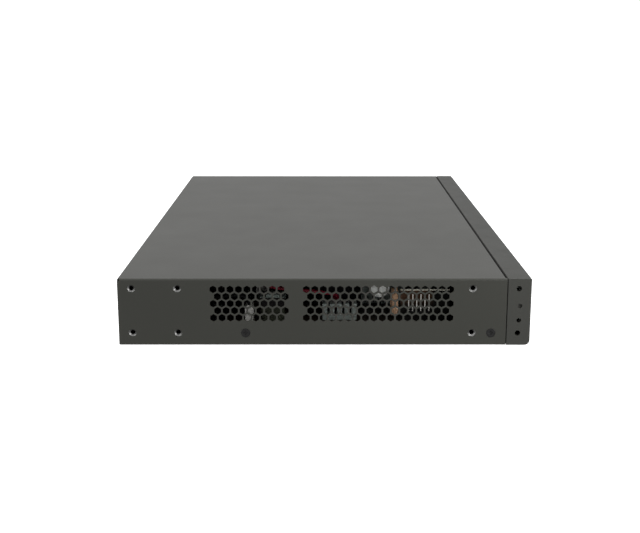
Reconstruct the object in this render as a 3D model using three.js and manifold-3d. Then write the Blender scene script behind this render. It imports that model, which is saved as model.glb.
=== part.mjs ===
// A one-unit rackmount network switch: 24 copper ports, 4 pluggable optical ports, a console port,
// an internal power supply behind the left side vents and two side fans behind the right ones.
// Millimetres. -Y is the front, +X is the right seen from the front, +Z is up. The origin is the
// middle of the footprint, on the surface that the switch stands on.
import * as THREE from "three";
import { mergeVertices } from "three/addons/utils/BufferGeometryUtils.js";
import Module from "manifold-3d";

const wasm = await Module();
wasm.setup();

// ---- Driving dimensions ----
const WIDTH = 440;
const DEPTH = 266;
const HEIGHT = 44;
const SHEET = 1; // steel sheet of the cover and the pan
const GAP = 0.3; // clearance between pieces that touch
const PAST = 2; // how far a cutter runs past the face it cuts

const SIDE = WIDTH / 2;
const FRONT = -DEPTH / 2;
const REAR = DEPTH / 2;

// Bezel: a moulded cap over the front end of the chassis
const BEZEL_DEPTH = 15.2;
const BEZEL_WALL = 2.2;
const BEZEL_TOP_RADIUS = 0.8;
const BEZEL_BOTTOM_RADIUS = 3.5;
const BEZEL_CORNER_RADIUS = 1;
const BEZEL_BACK = FRONT + BEZEL_DEPTH;
const SIDE_SEAM = 0.6; // open joint between bezel and cover
const TOP_SEAM = 1.6;
const SEAM_CORNER = 2.4; // the wider joint stops this far short of each side
const TONGUE_LENGTH = 4; // lip of the bezel that reaches in under the cover
const TONGUE_THICK = 1.1;
const TONGUE_DEPTH = 1.8;
const LEDGE_REACH = 0.5; // step on the lip that fills most of the joint at the corners
const LEDGE_DEPTH = 0.7;

// Cover: one sheet over the top and both sides, with small returns at the rear
const COVER_BOTTOM = 0.2;
const COVER_TOP = HEIGHT;
const COVER_FRONT = BEZEL_BACK + SIDE_SEAM;
const BEND_RADIUS = 1.2;
const REAR_BEND_RADIUS = 1.2;
const REAR_RETURN_SIDE = 7;
const REAR_RETURN_TOP = 5;
const CORNER_NOTCH = 1.7;

// Side vents: pointed-top hexagons on one grid
const VENT_PITCH = 5.435;
const VENT_FLATS = 4.35;
const VENT_ROWS = 5;
const VENT_TOP_ROW_Z = 37;
const VENT_FIRST_FROM_REAR = 61.6;
const VENT_GROUPS = [
  { first: 0, even: 9, odd: 9 },
  { first: 11, even: 18, odd: 17 },
];

// Rack bracket holes: two square patterns on each side, the front one shared with the bezel
const BRACKET_SPACING = 29.5;
const BRACKET_LOW_Z = 8;
const BRACKET_REAR_FROM_REAR = 9;
const BRACKET_FRONT_FROM_REAR = 228.3;
const COVER_HOLE_RADIUS = 2.6;
const COLLAR_BORE = 1.45;
const COLLAR_DEPTH = 1.4;
const THREAD_HOLE_RADIUS = 1.65;
const BEZEL_HOLE_RADIUS = 1.8;

// Cover screws on each side
const COVER_SCREWS = [
  { name: "rear", fromRear: 82.1 },
  { name: "front", fromRear: 240.5 },
];
const COVER_SCREW_Z = 8;
const SCREW_HEAD_RADIUS = 2.9;

// Pan: the floor, the rear wall and the side rails inside the cover
const PAN_SIDE = SIDE - SHEET - GAP;
const PAN_REAR = REAR - SHEET - GAP;
const RAIL_INSIDE = PAN_SIDE - SHEET;
const RAIL_FRONT = BEZEL_BACK + TONGUE_LENGTH + GAP;
const RAIL_REAR = PAN_REAR - SHEET - GAP;
const RAIL_HEIGHT = 13;
const TAB_TOP = 42;
const REAR_TAB_LENGTH = 46;
const FRONT_TAB_LENGTH = 27;
const FAN_TAB_MARGIN = 4;
const STANDOFF_RADIUS = 3;

// Main board
const BOARD_THICK = 1.6;
const BOARD_BOTTOM = 6.2;
const BOARD_TOP = BOARD_BOTTOM + BOARD_THICK;
const BOARD_FRONT = FRONT + 4;
const BOARD_REAR = 62;
const BOARD_LEFT = -205;
const BOARD_RIGHT = 176;
const BOARD_NOTCH_X = -132; // the board stops here beside the supply
const BOARD_NOTCH_Y = -92;
const ON_BOARD = BOARD_TOP + GAP;

// Front face: where the sockets, buttons and lights sit, as X of each middle
const JACK_BLOCKS = [
  { name: "left", x: -92 },
  { name: "right", x: -1 },
];
const SFP_X = 78;
const CONSOLE_X = -157;
const MODE_X = -186;
const RESET_X = -175;
const LIGHT_X = -200;
const GRILLE_X = 164;
const FACE_BACK = 0.3; // how far the sockets stand behind the bezel's face
const WINDOW_GAP = 0.4;

// Copper jacks
const JACK_PITCH = 13.97;
const JACK_COLUMNS = 6;
const JACK_WIDTH = JACK_COLUMNS * JACK_PITCH + 2.2;
const JACK_HEIGHT = 26.2;
const JACK_LENGTH = 25.8;
const JACK_CAVITY = 21;
const CONSOLE_WIDTH = 15.9;
const CONSOLE_HEIGHT = 13.4;

// Pluggable optical cages, ganged in a row
const SFP_COUNT = 4;
const SFP_PITCH = 14.4;
const SFP_WALL = 0.7;
const SFP_WIDTH = SFP_COUNT * SFP_PITCH + SFP_WALL;
const SFP_HEIGHT = 10.2;
const SFP_LIGHT_BAR = 4; // height of the bar of lights along the top of the cage's mouth
const SFP_LIGHT_DEPTH = 8;
const SFP_LENGTH = 46;

// Buttons and lights
const BUTTON_Z = 14;
const MODE_RADIUS = 2.6;
const RESET_RADIUS = 1.4;
const RESET_RECESS = 0.6;
const BUTTON_LENGTH = 5.2;
const BUTTON_TRAVEL = 1;
const LIGHT_COUNT = 5;
const LIGHT_PITCH = 5;
const LIGHT_LOW_Z = 12;
const LIGHT_RADIUS = 1.1;

// Intake slots in the bezel
const SLOT_COUNT = 15;
const SLOT_PITCH = 5.435;
const SLOT_WIDTH = 2.6;
const SLOT_LOW_Z = 9;
const SLOT_HIGH_Z = 35;

// Fans on the right
const FANS = [
  { name: "front", y: -44 },
  { name: "rear", y: 2 },
];
const FAN_SIZE = 40;
const FAN_THICK = 20;
const FAN_BORE = 19;
const FAN_BLADE_TIP = 18.2;
const FAN_HUB = 8;
const FAN_BLADES = 7;
const FAN_Z = SHEET + GAP + FAN_SIZE / 2;
const FAN_X = RAIL_INSIDE - GAP - FAN_THICK / 2;
const FAN_VENT_REACH = 16.5;
const FAN_SCREW = 16;

// Power supply, in distances from the left side and from the rear
const SUPPLY_BOARD = { left: 8, right: 80, rear: 68, front: 222, bottom: 7.8 };
const ON_SUPPLY = SUPPLY_BOARD.bottom + BOARD_THICK + GAP;
const INLET_FROM_LEFT = 35;
const INLET_Z = 22;
const INLET_SCREW_REACH = 20; // from the inlet's middle to each of its screws
const EARTH_X = -138;
const BULK_RADIUS = 6.8;
const BULK_LENGTH = 28;
const BULK_Z = 32.8;

// ---- Looks ----
function look(color, roughness, metalness) {
  return new THREE.MeshStandardMaterial({ color, roughness, metalness });
}
const LOOKS = {
  cover: look(0x4b4b4a, 0.6, 0.2),
  bezel: look(0x474746, 0.5, 0),
  zinc: look(0xa9aaa6, 0.35, 0.9),
  nickel: look(0xb4b3ad, 0.3, 1),
  screw: look(0x2c2c2c, 0.5, 0.6),
  board: look(0x1d4a2c, 0.5, 0),
  brownBoard: look(0x6b4a28, 0.6, 0),
  chip: look(0x17171a, 0.5, 0),
  aluminium: look(0x8f9a94, 0.4, 0.9),
  blackPlastic: look(0x161616, 0.5, 0),
  whitePlastic: look(0xd9d8cf, 0.5, 0),
  clear: look(0xdfe6e2, 0.15, 0),
  button: look(0x8a8a88, 0.45, 0),
  copper: look(0xb4713a, 0.4, 0.7),
  bobbin: look(0x3c4239, 0.5, 0),
  tape: look(0x26262a, 0.4, 0),
  sleeve: look(0x1e2326, 0.4, 0),
  insulator: look(0x23231f, 0.7, 0),
  red: look(0x8f1524, 0.5, 0),
  black: look(0x151515, 0.5, 0),
  green: look(0x3b7a35, 0.5, 0),
};

// ---- Geometry helpers ----

// A closed three.js geometry as a solid.
function solid(geometry) {
  const bare = geometry.index ? geometry.toNonIndexed() : geometry.clone();
  bare.deleteAttribute("normal");
  bare.deleteAttribute("uv");
  const merged = mergeVertices(bare, 1e-4);
  return new wasm.Manifold(
    new wasm.Mesh({
      numProp: 3,
      vertProperties: merged.attributes.position.array,
      triVerts: new Uint32Array(merged.index.array),
    }),
  );
}

// Moves every vertex onto its low or high limit, so that faces meant to be level are exactly level.
function snap(attribute, axis, middle, low, high) {
  for (let i = 0; i < attribute.count; i += 1) {
    attribute.setComponent(i, axis, attribute.getComponent(i, axis) > middle ? high : low);
  }
}

// A box from its lowest to its highest corner.
function block(low, high) {
  const geometry = new THREE.BoxGeometry(1, 1, 1);
  for (let index = 0; index < 3; index += 1) {
    snap(geometry.attributes.position, index, 0, low[index], high[index]);
  }
  return solid(geometry);
}

// Outlines pushed along one axis. Points are [y, z] for X, [x, z] for Y and [x, y] for Z.
function prism(axis, outlines, from, to) {
  const lists = Array.isArray(outlines[0][0]) ? outlines : [outlines];
  const ordered = ([a, b]) => (axis === "y" ? new THREE.Vector2(b, a) : new THREE.Vector2(a, b));
  const shapes = lists.map((points) => new THREE.Shape(points.map(ordered)));
  const geometry = new THREE.ExtrudeGeometry(shapes, { depth: 1, bevelEnabled: false });
  snap(geometry.attributes.position, 2, 0.5, from, to);
  const x = new THREE.Vector3(1, 0, 0);
  const y = new THREE.Vector3(0, 1, 0);
  const z = new THREE.Vector3(0, 0, 1);
  const bases = { x: [y, z, x], y: [z, x, y], z: [x, y, z] };
  geometry.applyMatrix4(new THREE.Matrix4().makeBasis(...bases[axis]));
  return solid(geometry);
}

// Points along an arc, angles in degrees.
function arc(cx, cy, radius, start, end, steps = 5) {
  return Array.from({ length: steps + 1 }, (_, i) => {
    const angle = THREE.MathUtils.degToRad(start + ((end - start) * i) / steps);
    return [cx + radius * Math.cos(angle), cy + radius * Math.sin(angle)];
  });
}

// A closed ring of points, such as a circle or a hexagon.
function ring(cx, cy, radius, sides, start = 0) {
  return arc(cx, cy, radius, start, start + 360, sides).slice(0, -1);
}

// A rectangle with its corners rounded or cut.
function roundedRect(x0, y0, x1, y1, radius, steps = 3) {
  return [
    ...arc(x1 - radius, y0 + radius, radius, -90, 0, steps),
    ...arc(x1 - radius, y1 - radius, radius, 0, 90, steps),
    ...arc(x0 + radius, y1 - radius, radius, 90, 180, steps),
    ...arc(x0 + radius, y0 + radius, radius, 180, 270, steps),
  ];
}

// A round bar along an axis, its place given as in prism.
function rod(axis, [a, b], radius, from, to, sides = 16) {
  return prism(axis, ring(a, b, radius, sides), from, to);
}

// A shape turned about Z from [radius, height] points, which start and end on the axis or at one point.
function turned(points, sides) {
  const profile = points.map((point) => new THREE.Vector2(...point));
  return solid(new THREE.LatheGeometry(profile, sides).rotateX(Math.PI / 2));
}

function join(parts) {
  return parts.reduce((all, part) => all.add(part));
}

function cut(body, cutters) {
  return cutters.reduce((left, cutter) => left.subtract(cutter), body);
}

// A round lead through a list of points.
function lead(points, radius, steps = 14, sides = 5) {
  const path = new THREE.CatmullRomCurve3(points.map((p) => new THREE.Vector3(...p)));
  const section = new THREE.Shape(ring(0, 0, radius, sides).map((p) => new THREE.Vector2(...p)));
  return solid(new THREE.ExtrudeGeometry(section, { steps, extrudePath: path }));
}

const model = new THREE.Group();

function add(parent, name, body, material, position = [0, 0, 0], rotation = [0, 0, 0]) {
  const raw = body.getMesh();
  const geometry = new THREE.BufferGeometry();
  geometry.setAttribute("position", new THREE.BufferAttribute(raw.vertProperties, 3));
  geometry.setIndex(new THREE.BufferAttribute(raw.triVerts, 1));
  geometry.computeVertexNormals();
  const mesh = new THREE.Mesh(geometry, material);
  mesh.name = name;
  mesh.position.set(...position);
  mesh.rotation.set(...rotation);
  parent.add(mesh);
}

// ---- Cover ----

function bracketHoles() {
  const rear = REAR - BRACKET_REAR_FROM_REAR;
  const front = REAR - BRACKET_FRONT_FROM_REAR;
  const rows = [BRACKET_LOW_Z, BRACKET_LOW_Z + BRACKET_SPACING];
  const columns = [rear, rear - BRACKET_SPACING, front];
  return columns.flatMap((y) => rows.map((z) => [y, z]));
}

function coverScrewPlaces() {
  return COVER_SCREWS.map((screw) => [REAR - screw.fromRear, COVER_SCREW_Z]);
}

function hexagon([y, z]) {
  return ring(y, z, VENT_FLATS / Math.sqrt(3), 6, 90);
}

function leftVents() {
  const rowPitch = (VENT_PITCH * Math.sqrt(3)) / 2;
  const centres = [];
  for (let row = 0; row < VENT_ROWS; row += 1) {
    const shifted = row % 2;
    for (const group of VENT_GROUPS) {
      const count = shifted ? group.odd : group.even;
      for (let i = 0; i < count; i += 1) {
        const along = VENT_FIRST_FROM_REAR + (group.first + i + shifted / 2) * VENT_PITCH;
        centres.push([REAR - along, VENT_TOP_ROW_Z - row * rowPitch]);
      }
    }
  }
  return centres;
}

function fanVents(fanY) {
  const rowPitch = (VENT_PITCH * Math.sqrt(3)) / 2;
  const reach = Math.ceil(FAN_VENT_REACH / rowPitch);
  const centres = [];
  for (let row = -reach; row <= reach; row += 1) {
    for (let column = -reach; column <= reach; column += 1) {
      const y = (column + Math.abs(row % 2) / 2) * VENT_PITCH;
      const z = row * rowPitch;
      if (Math.hypot(y, z) <= FAN_VENT_REACH) centres.push([fanY + y, FAN_Z + z]);
    }
  }
  return centres;
}

// The cover's envelope, shrunk inwards by a thickness.
function coverEnvelope(inset, bottom, front) {
  const side = SIDE - inset;
  const top = COVER_TOP - inset;
  const rear = REAR - inset;
  const bend = BEND_RADIUS - inset;
  const rearBend = REAR_BEND_RADIUS - inset;
  const across = [
    [side, bottom],
    ...arc(side - bend, top - bend, bend, 0, 90, 4),
    ...arc(bend - side, top - bend, bend, 90, 180, 4),
    [-side, bottom],
  ];
  const plan = [
    [side, front],
    ...arc(side - rearBend, rear - rearBend, rearBend, 0, 90, 4),
    ...arc(rearBend - side, rear - rearBend, rearBend, 90, 180, 4),
    [-side, front],
  ];
  const profile = [
    [front, bottom],
    [rear, bottom],
    ...arc(rear - rearBend, top - rearBend, rearBend, 0, 90, 4),
    [front, top],
  ];
  return prism("y", across, front, rear)
    .intersect(prism("z", plan, bottom, top))
    .intersect(prism("x", profile, -side, side));
}

function topCover() {
  const outer = coverEnvelope(0, COVER_BOTTOM, COVER_FRONT);
  const inner = coverEnvelope(SHEET, COVER_BOTTOM - PAST, COVER_FRONT - PAST);
  const rearWindow = block(
    [REAR_RETURN_SIDE - SIDE, REAR - SHEET - PAST, -PAST],
    [SIDE - REAR_RETURN_SIDE, REAR + PAST, COVER_TOP - REAR_RETURN_TOP],
  );
  const frontRelief = block(
    [SEAM_CORNER - SIDE, COVER_FRONT - PAST, COVER_TOP - SHEET - PAST],
    [SIDE - SEAM_CORNER, BEZEL_BACK + TOP_SEAM, COVER_TOP + PAST],
  );
  const corners = [[-SIDE - PAST, CORNER_NOTCH - SIDE], [SIDE - CORNER_NOTCH, SIDE + PAST]];
  const notches = corners.map(([x0, x1]) => (
    block([x0, REAR - CORNER_NOTCH, COVER_TOP - CORNER_NOTCH], [x1, REAR + PAST, COVER_TOP + PAST])
  ));
  const fanFields = FANS.flatMap((fan) => fanVents(fan.y));
  const throughLeft = [-SIDE - PAST, -SIDE + SHEET + PAST / 2];
  const throughRight = [SIDE - SHEET - PAST / 2, SIDE + PAST];
  const round = bracketHoles().map(([y, z]) => ring(y, z, COVER_HOLE_RADIUS, 14));
  const heads = coverScrewPlaces().map(([y, z]) => ring(y, z, SCREW_HEAD_RADIUS + 0.15, 14));
  return cut(outer, [
    inner,
    rearWindow,
    frontRelief,
    ...notches,
    prism("x", leftVents().map(hexagon), ...throughLeft),
    prism("x", fanFields.map(hexagon), ...throughRight),
    prism("x", [...round, ...heads], ...throughLeft),
    prism("x", [...round, ...heads], ...throughRight),
  ]);
}

// ---- Pan ----

function standoffPlaces() {
  return [
    [-200, -108], [-142, -100], [-48, -92], [60, -76], [168, -108],
    [-124, 20], [20, 54], [168, 54],
  ];
}

function supplyStandoffPlaces() {
  const { left, right, rear, front } = SUPPLY_BOARD;
  const edge = 5;
  const columns = [left + edge - SIDE, right - edge - SIDE];
  const rows = [REAR - rear - edge, REAR - front + edge];
  return columns.flatMap((x) => rows.map((y) => [x, y]));
}

// The floor sheet with the posts that carry both boards.
function basePan() {
  const posts = (places, top) => places.map((place) => rod("z", place, STANDOFF_RADIUS, 0, top - GAP, 8));
  return join([
    block([GAP - RAIL_INSIDE, BEZEL_BACK + GAP, 0], [RAIL_INSIDE - GAP, RAIL_REAR, SHEET]),
    ...posts(standoffPlaces(), BOARD_BOTTOM),
    ...posts(supplyStandoffPlaces(), SUPPLY_BOARD.bottom),
  ]);
}

// A rail along one side: low between its tabs, which carry the threads for the brackets and the cover.
function sideRail(sign, tabs, bores) {
  const [x0, x1] = sign < 0 ? [-PAN_SIDE, -RAIL_INSIDE] : [RAIL_INSIDE, PAN_SIDE];
  const screwHoles = coverScrewPlaces().map(([y, z]) => ring(y, z, THREAD_HOLE_RADIUS, 12));
  const collarHoles = bracketHoles().map(([y, z]) => ring(y, z, COVER_HOLE_RADIUS, 16));
  const sheet = join([
    block([x0, RAIL_FRONT, 0], [x1, RAIL_REAR, RAIL_HEIGHT]),
    block([x0, RAIL_FRONT, 0], [x1, RAIL_FRONT + FRONT_TAB_LENGTH, TAB_TOP]),
    block([x0, RAIL_REAR - REAR_TAB_LENGTH, 0], [x1, RAIL_REAR, TAB_TOP]),
    ...tabs.map(([y0, y1]) => block([x0, y0, 0], [x1, y1, TAB_TOP])),
  ]);
  const rail = cut(sheet, [prism("x", [...screwHoles, ...collarHoles, ...bores], x0 - PAST, x1 + PAST)]);
  const collars = bracketHoles().map(([y, z]) => threadCollar(sign).translate([sign * PAN_SIDE, y, z]));
  return join([rail, ...collars]);
}

// The metal drawn inwards round a threaded hole: a cone that narrows to the thread.
function threadCollar(sign) {
  const lip = COVER_HOLE_RADIUS + 0.3;
  const profile = [
    [COVER_HOLE_RADIUS - 0.1, 0], [lip, 0], [lip, -SHEET], [COLLAR_BORE + 0.7, -COLLAR_DEPTH],
    [COLLAR_BORE, -COLLAR_DEPTH], [COLLAR_BORE, 0.5 - COLLAR_DEPTH],
  ];
  return turned([...profile, profile[0]].reverse(), 16).rotate([0, sign * 90, 0]);
}

function fanTabs() {
  const half = FAN_SIZE / 2 + FAN_TAB_MARGIN;
  return FANS.map((fan) => [fan.y - half, fan.y + half]);
}

function rearPanel() {
  const inletX = INLET_FROM_LEFT - SIDE;
  const inletHole = roundedRect(inletX - 14, INLET_Z - 10.4, inletX + 14, INLET_Z + 10.4, 2, 2);
  const screwHoles = [-1, 1].map((sign) => ring(inletX + sign * INLET_SCREW_REACH, INLET_Z, 3.1, 12));
  const earthHole = ring(EARTH_X, INLET_Z, 2.2, 12);
  return cut(block([-PAN_SIDE, PAN_REAR - SHEET, 0], [PAN_SIDE, PAN_REAR, TAB_TOP]), [
    prism("y", [inletHole, ...screwHoles, earthHole], PAN_REAR - SHEET - PAST, REAR),
  ]);
}

// ---- Front end ----

// Outlines [x, z] of the openings that the bezel and the front panel share, grown by a clearance.
function faceWindows(clear) {
  const frame = (x, width, height) => [
    [x - width / 2 - clear, ON_BOARD - clear],
    [x + width / 2 + clear, ON_BOARD - clear],
    [x + width / 2 + clear, ON_BOARD + height + clear],
    [x - width / 2 - clear, ON_BOARD + height + clear],
  ];
  return [
    ...JACK_BLOCKS.map((jack) => frame(jack.x, JACK_WIDTH, JACK_HEIGHT)),
    frame(SFP_X, SFP_WIDTH, SFP_HEIGHT + SFP_LIGHT_BAR),
    frame(CONSOLE_X, CONSOLE_WIDTH, CONSOLE_HEIGHT),
    ring(MODE_X, BUTTON_Z, MODE_RADIUS + clear, 24),
    ring(RESET_X, BUTTON_Z, RESET_RADIUS + clear, 16),
    ...lightPlaces().map((z) => ring(LIGHT_X, z, LIGHT_RADIUS + clear, 10)),
  ];
}

function grilleSlots() {
  const half = SLOT_WIDTH / 2;
  return slotPlaces().map((x) => roundedRect(x - half, SLOT_LOW_Z, x + half, SLOT_HIGH_Z, 1, 1));
}

function lightPlaces() {
  return Array.from({ length: LIGHT_COUNT }, (_, i) => LIGHT_LOW_Z + i * LIGHT_PITCH);
}

function slotPlaces() {
  return Array.from({ length: SLOT_COUNT }, (_, i) => GRILLE_X + (i - (SLOT_COUNT - 1) / 2) * SLOT_PITCH);
}

// Centres and radii of the holes through each end of the bezel: two for the bracket, one for its peg.
function bezelHoles() {
  const y = REAR - BRACKET_FRONT_FROM_REAR - BRACKET_SPACING;
  return [
    [y, BRACKET_LOW_Z + BRACKET_SPACING, BEZEL_HOLE_RADIUS],
    [y, BRACKET_LOW_Z, BEZEL_HOLE_RADIUS],
    [y - 0.5, BRACKET_LOW_Z + 8.5, 1.55],
  ];
}

// The lip that the cover's front edge lies over: a flat arch just inside the bezel's top and ends.
function bezelTongue() {
  const out = SIDE - TONGUE_DEPTH;
  const top = HEIGHT - TONGUE_DEPTH;
  const from = BEZEL_BACK - 1;
  const to = BEZEL_BACK + TONGUE_LENGTH;
  const ledge = SIDE - LEDGE_DEPTH;
  return join([
    block([-ledge, from, top - TONGUE_THICK], [ledge, BEZEL_BACK + LEDGE_REACH, HEIGHT - LEDGE_DEPTH]),
    block([-out, from, top - TONGUE_THICK], [out, to, top]),
    block([-out, from, BEZEL_WALL + 1], [TONGUE_THICK - out, to, top]),
    block([out - TONGUE_THICK, from, BEZEL_WALL + 1], [out, to, top]),
  ]);
}

function frontBezel() {
  const corner = BEZEL_CORNER_RADIUS;
  const outline = [
    ...arc(FRONT + BEZEL_TOP_RADIUS, HEIGHT - BEZEL_TOP_RADIUS, BEZEL_TOP_RADIUS, 90, 180),
    ...arc(FRONT + BEZEL_BOTTOM_RADIUS, BEZEL_BOTTOM_RADIUS, BEZEL_BOTTOM_RADIUS, 180, 270, 6),
    [BEZEL_BACK, 0],
    [BEZEL_BACK, HEIGHT],
  ];
  const plan = [
    [-SIDE, BEZEL_BACK],
    ...arc(corner - SIDE, FRONT + corner, corner, 180, 270, 4),
    ...arc(SIDE - corner, FRONT + corner, corner, 270, 360, 4),
    [SIDE, BEZEL_BACK],
  ];
  const body = prism("x", outline, -SIDE, SIDE).intersect(prism("z", plan, 0, HEIGHT));
  const pocket = block(
    [BEZEL_WALL - SIDE, FRONT + BEZEL_WALL, BEZEL_WALL],
    [SIDE - BEZEL_WALL, BEZEL_BACK + PAST, HEIGHT - BEZEL_WALL],
  );
  const through = bezelHoles().map(([y, z, radius]) => ring(y, z, radius, 16));
  const [y, z] = bezelHoles()[0];
  const dimple = [ring(y - 0.9, z - 11.4, 1.5, 14)];
  const dimpleDepth = 1.6;
  const shell = join([cut(body, [pocket]), bezelTongue()]);
  return cut(shell, [
    prism("y", [...faceWindows(WINDOW_GAP), ...grilleSlots()], FRONT - PAST, FRONT + BEZEL_WALL + PAST),
    prism("x", through, -SIDE - PAST, SIDE + PAST),
    prism("x", dimple, -SIDE - PAST, dimpleDepth - SIDE),
    prism("x", dimple, SIDE - dimpleDepth, SIDE + PAST),
  ]);
}

// The steel face behind the bezel, with side flanges that the foremost bracket screws pass through.
function frontPanel() {
  const side = SIDE - TONGUE_DEPTH - TONGUE_THICK - GAP;
  const low = BEZEL_WALL + GAP;
  const high = HEIGHT - BEZEL_WALL - GAP;
  const face = FRONT + BEZEL_WALL + GAP;
  const back = COVER_FRONT + 5;
  const inside = side - 0.9;
  const holes = bezelHoles().map(([y, z, radius]) => ring(y, z, radius + 0.3, 12));
  const shell = join([
    block([-side, face, low], [side, face + 0.8, high]),
    block([-side, face, low], [-inside, back, high - 3]),
    block([inside, face, low], [side, back, high - 3]),
  ]);
  const grilleHalf = (SLOT_COUNT * SLOT_PITCH) / 2;
  const grille = [
    [GRILLE_X - grilleHalf, SLOT_LOW_Z],
    [GRILLE_X + grilleHalf, SLOT_LOW_Z],
    [GRILLE_X + grilleHalf, SLOT_HIGH_Z],
    [GRILLE_X - grilleHalf, SLOT_HIGH_Z],
  ];
  return cut(shell, [
    prism("y", [...faceWindows(WINDOW_GAP), grille], face - PAST, face + PAST),
    prism("x", holes, -SIDE, SIDE),
  ]);
}

// Outline [x, z] of one copper port: the plug's body with the latch slot in two steps below it.
function portOutline(x, z, up) {
  const half = 5.95;
  const steps = [[half, 8], [3.1, 1.5], [2, 1.4]];
  const right = [];
  let height = 0;
  for (const [reach, rise] of steps) {
    right.push([reach, height], [reach, height + rise]);
    height += rise;
  }
  const outline = [...right, ...right.map(([px, pz]) => [-px, pz]).reverse()];
  return outline.map(([px, pz]) => [x + px, z + (up ? pz : -pz)]);
}

function jackBlock() {
  const half = JACK_WIDTH / 2;
  const ports = [];
  for (let i = 0; i < JACK_COLUMNS; i += 1) {
    const x = (i - (JACK_COLUMNS - 1) / 2) * JACK_PITCH;
    ports.push(portOutline(x, 12.2, false), portOutline(x, 14, true));
  }
  const body = block([-half, 0, 0], [half, JACK_LENGTH, JACK_HEIGHT]);
  return cut(body, [prism("y", ports, -PAST, JACK_CAVITY)]);
}

function consoleJack() {
  const half = CONSOLE_WIDTH / 2;
  return cut(block([-half, 0, 0], [half, 21.5, CONSOLE_HEIGHT]), [
    prism("y", portOutline(0, 12.2, false), -PAST, 18),
  ]);
}

function sfpCage() {
  const half = SFP_WIDTH / 2;
  const bays = [];
  for (let i = 0; i < SFP_COUNT; i += 1) {
    const x0 = -half + SFP_WALL + i * SFP_PITCH;
    const x1 = x0 + SFP_PITCH - SFP_WALL;
    const top = SFP_HEIGHT - SFP_WALL;
    bays.push([[x0, SFP_WALL], [x1, SFP_WALL], [x1, top], [x0, top]]);
  }
  const cage = join([
    block([-half, 0, 0], [half, SFP_LENGTH, SFP_HEIGHT]),
    block([-half, 0, SFP_HEIGHT / 2], [half, SFP_LIGHT_DEPTH, SFP_HEIGHT + SFP_LIGHT_BAR]),
  ]);
  return cut(cage, [prism("y", bays, -PAST, SFP_LENGTH - SFP_WALL)]);
}

// A push button: a round cap on a thinner stem. The face is at y = 0.
function button(radius) {
  return join([
    rod("y", [0, 0], radius, 0, 4.2, 24),
    rod("y", [0, 0], radius * 0.6, 4, BUTTON_LENGTH, 12),
  ]);
}

// A board-edge push switch, its plunger towards the button. The plunger's face is at y = 0.
function pushSwitch() {
  return join([
    rod("y", [0, 0], 1, 0, 1.6, 12),
    block([-3, 1.4, ON_BOARD - BUTTON_Z], [3, 5.2, 3]),
  ]);
}

// Clear lenses on stems that join one bar.
function lightPipe() {
  const barFront = 6;
  const places = lightPlaces();
  const bar = block([-1.6, barFront, ON_BOARD], [1.6, barFront + 3, places.at(-1) + 1.6]);
  return join([bar, ...places.map((z) => rod("y", [0, z], LIGHT_RADIUS, 0, barFront + 1, 12))]);
}

// ---- Boards and what stands on them ----

function mainBoard() {
  const outline = [
    [BOARD_LEFT, BOARD_FRONT],
    [BOARD_RIGHT, BOARD_FRONT],
    [BOARD_RIGHT, BOARD_REAR],
    [BOARD_NOTCH_X, BOARD_REAR],
    [BOARD_NOTCH_X, BOARD_NOTCH_Y],
    [BOARD_LEFT, BOARD_NOTCH_Y],
  ];
  const holes = standoffPlaces().map(([x, y]) => ring(x, y, 1.6, 8));
  return cut(prism("z", outline, BOARD_BOTTOM, BOARD_TOP), [
    prism("z", holes, BOARD_BOTTOM - PAST, BOARD_TOP + PAST),
  ]);
}

// A base plate with straight fins along X, standing on z = 0.
function finnedSink(length, width, height, base, fins, finThick) {
  const gapWidth = (width - fins * finThick) / (fins - 1);
  const slots = Array.from({ length: fins - 1 }, (_, i) => {
    const y0 = -width / 2 + finThick + i * (finThick + gapWidth);
    return [[y0, base], [y0 + gapWidth, base], [y0 + gapWidth, height + PAST], [y0, height + PAST]];
  });
  const body = block([-length / 2, -width / 2, 0], [length / 2, width / 2, height]);
  return cut(body, [prism("x", slots, -length / 2 - PAST, length / 2 + PAST)]);
}

function chip(size, height) {
  return block([-size / 2, -size / 2, 0], [size / 2, size / 2, height]);
}

// A shrouded wire-to-board header with a wall all round its pocket.
function header(length, width, height) {
  const wall = 0.9;
  const body = block([-length / 2, -width / 2, 0], [length / 2, width / 2, height]);
  const x = length / 2 - wall;
  const y = width / 2 - wall;
  return cut(body, [block([-x, -y, height / 2], [x, y, height + PAST])]);
}

function supplyBoard() {
  const { left, right, rear, front, bottom } = SUPPLY_BOARD;
  const holes = supplyStandoffPlaces().map(([x, y]) => ring(x, y, 1.6, 8));
  const top = bottom + BOARD_THICK;
  const plate = block([left - SIDE, REAR - front, bottom], [right - SIDE, REAR - rear, top]);
  return cut(plate, [prism("z", holes, bottom - PAST, top + PAST)]);
}

// A sheet of insulating film under the supply board, notched round its standoffs.
function supplyInsulator() {
  const { left, right, rear, front } = SUPPLY_BOARD;
  const posts = supplyStandoffPlaces().map(([x, y]) => ring(x, y, STANDOFF_RADIUS + GAP, 12));
  const bottom = SHEET + GAP;
  const sheet = block([left - SIDE, REAR - front, bottom], [right - SIDE, REAR - rear, bottom + 0.5]);
  return cut(sheet, [prism("z", posts, 0, bottom + PAST)]);
}

function transformer() {
  const winding = prism("x", roundedRect(-12.5, 3, 12.5, 21, 5, 3), -13, 13);
  const coreSides = [-1, 1].map((s) => block([-6.5, s * 13.6 - 2.4, 1.5], [6.5, s * 13.6 + 2.4, 22.5]));
  const coreEnds = [-1, 1].map((s) => block([s * 15 - 2.6, -9, 0], [s * 15 + 2.6, 9, 24]));
  return join([winding, ...coreSides, ...coreEnds]);
}

function capacitor(radius, height) {
  const rim = 0.5;
  const can = rod("z", [0, 0], radius, 0, height, 20);
  return cut(can, [rod("z", [0, 0], radius - 1, height - rim, height + PAST, 20)]);
}

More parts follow.
